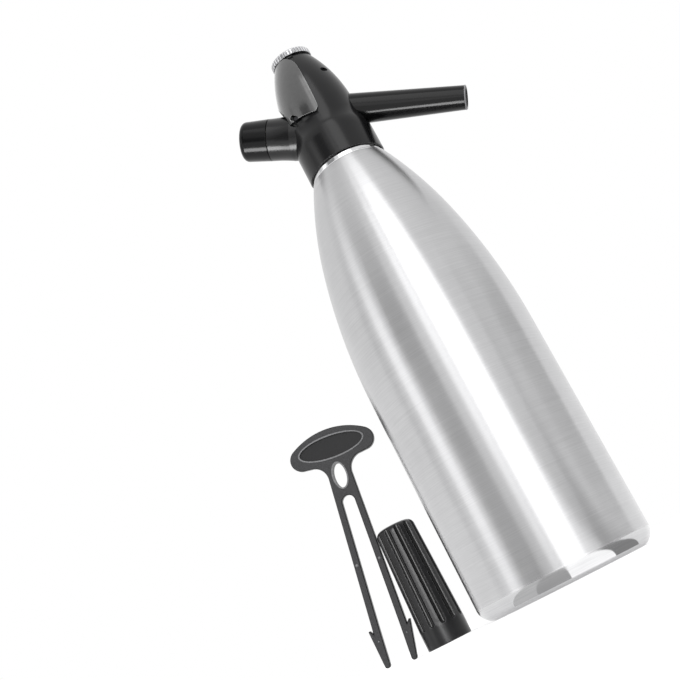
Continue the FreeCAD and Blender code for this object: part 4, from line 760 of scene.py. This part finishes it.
# %% Strips
# In metres, as for the other lights.
STRIP_PLACE = (-0.25, -0.165, 0.002)
STRIP_LENGTH, STRIP_WIDTH = 0.42, 0.17


def shine_only_on(item, *names):
    """Links a light to a few pieces, on which it only makes highlights."""
    lit = bpy.data.collections.new(f"lit_by_{item.name}")
    for name in names:
        lit.objects.link(nodes[name])
    item.light_linking.receiver_collection = lit
    item.visible_diffuse = False
    print(item.name, "shines on", ", ".join(names))


strip_light = light("floor_strip", STRIP_LENGTH, STRIP_WIDTH, brightness=15)
strip = bpy.data.objects.new("floor_strip", strip_light)
strip.matrix_world = Matrix.Translation(STRIP_PLACE) @ Matrix.Rotation(math.pi, 4, "X")
strip.visible_camera = False
bpy.context.scene.collection.objects.link(strip)
shine_only_on(strip, "spout", "port_cap", "head_housing")
holder_strip = softbox("holder_strip", turn=-4, degrees=15, low=0, high=2, brightness=9)
shine_only_on(holder_strip, "charger_holder")

# %% [markdown]
# ## The room
#
# The room is white.  A white picture of a room could surround the siphon, but an even white needs
# no picture.  What the eye and the metal see of it is full white, and the light that it gives is
# a little less, so pale surfaces keep their colour.  The Light Path node tells the two apart: it
# says what kind of ray asks.

# %% The room
ROOM_LIGHT = 0.85

world = bpy.data.worlds.new("white_room")
bpy.context.scene.world = world
world.use_nodes = True
background = world.node_tree.nodes["Background"]
background.inputs["Color"].default_value = (1, 1, 1, 1)
add, to_background = node_tools(world.node_tree, background)
seen = 0.0
for ray in ("Is Camera Ray", "Is Glossy Ray", "Is Transmission Ray"):
    seen = add("Math", {"operation": "MAXIMUM"}, _0=add("LightPath", output=ray), _1=seen)
to_background("Strength", add("MapRange", Value=seen, To_Min=ROOM_LIGHT, To_Max=1.0))
print("the room gives", ROOM_LIGHT, "of white and looks like white")

# %% [markdown]
# ## The floor
#
# The floor is white paper.  It could be left out, with a shadow catcher in its place, but then
# nothing would be there for the metal to reflect.  It adds the part of white that its shadowless
# places lack, so it ends without a line, and it still shows the siphon's shadow.

# %% The floor
FLOOR_HALF_WIDTH = 6
FLOOR_GLOW = 0.37

floor_shape = bmesh.new()
bmesh.ops.create_grid(floor_shape, x_segments=1, y_segments=1, size=FLOOR_HALF_WIDTH)
floor_mesh = bpy.data.meshes.new("floor")
floor_shape.to_mesh(floor_mesh)
floor_shape.free()
floor = bpy.data.objects.new("floor", floor_mesh)
bpy.context.scene.collection.objects.link(floor)
paper, add, to_shader = new_material("white_paper", Roughness=0.9, Specular_IOR_Level=0.0,
                                     Base_Color=colour("#f4f4f4"), Emission_Color=(1, 1, 1, 1))
lifted = add("Math", {"operation": "MAXIMUM"}, _0=add("LightPath", output="Is Camera Ray"),
             _1=add("LightPath", output="Is Glossy Ray"))
to_shader("Emission Strength", add("MapRange", Value=lifted, To_Min=0.0, To_Max=FLOOR_GLOW))
floor_mesh.materials.append(paper)
print("floor", 2 * FLOOR_HALF_WIDTH, "m wide")
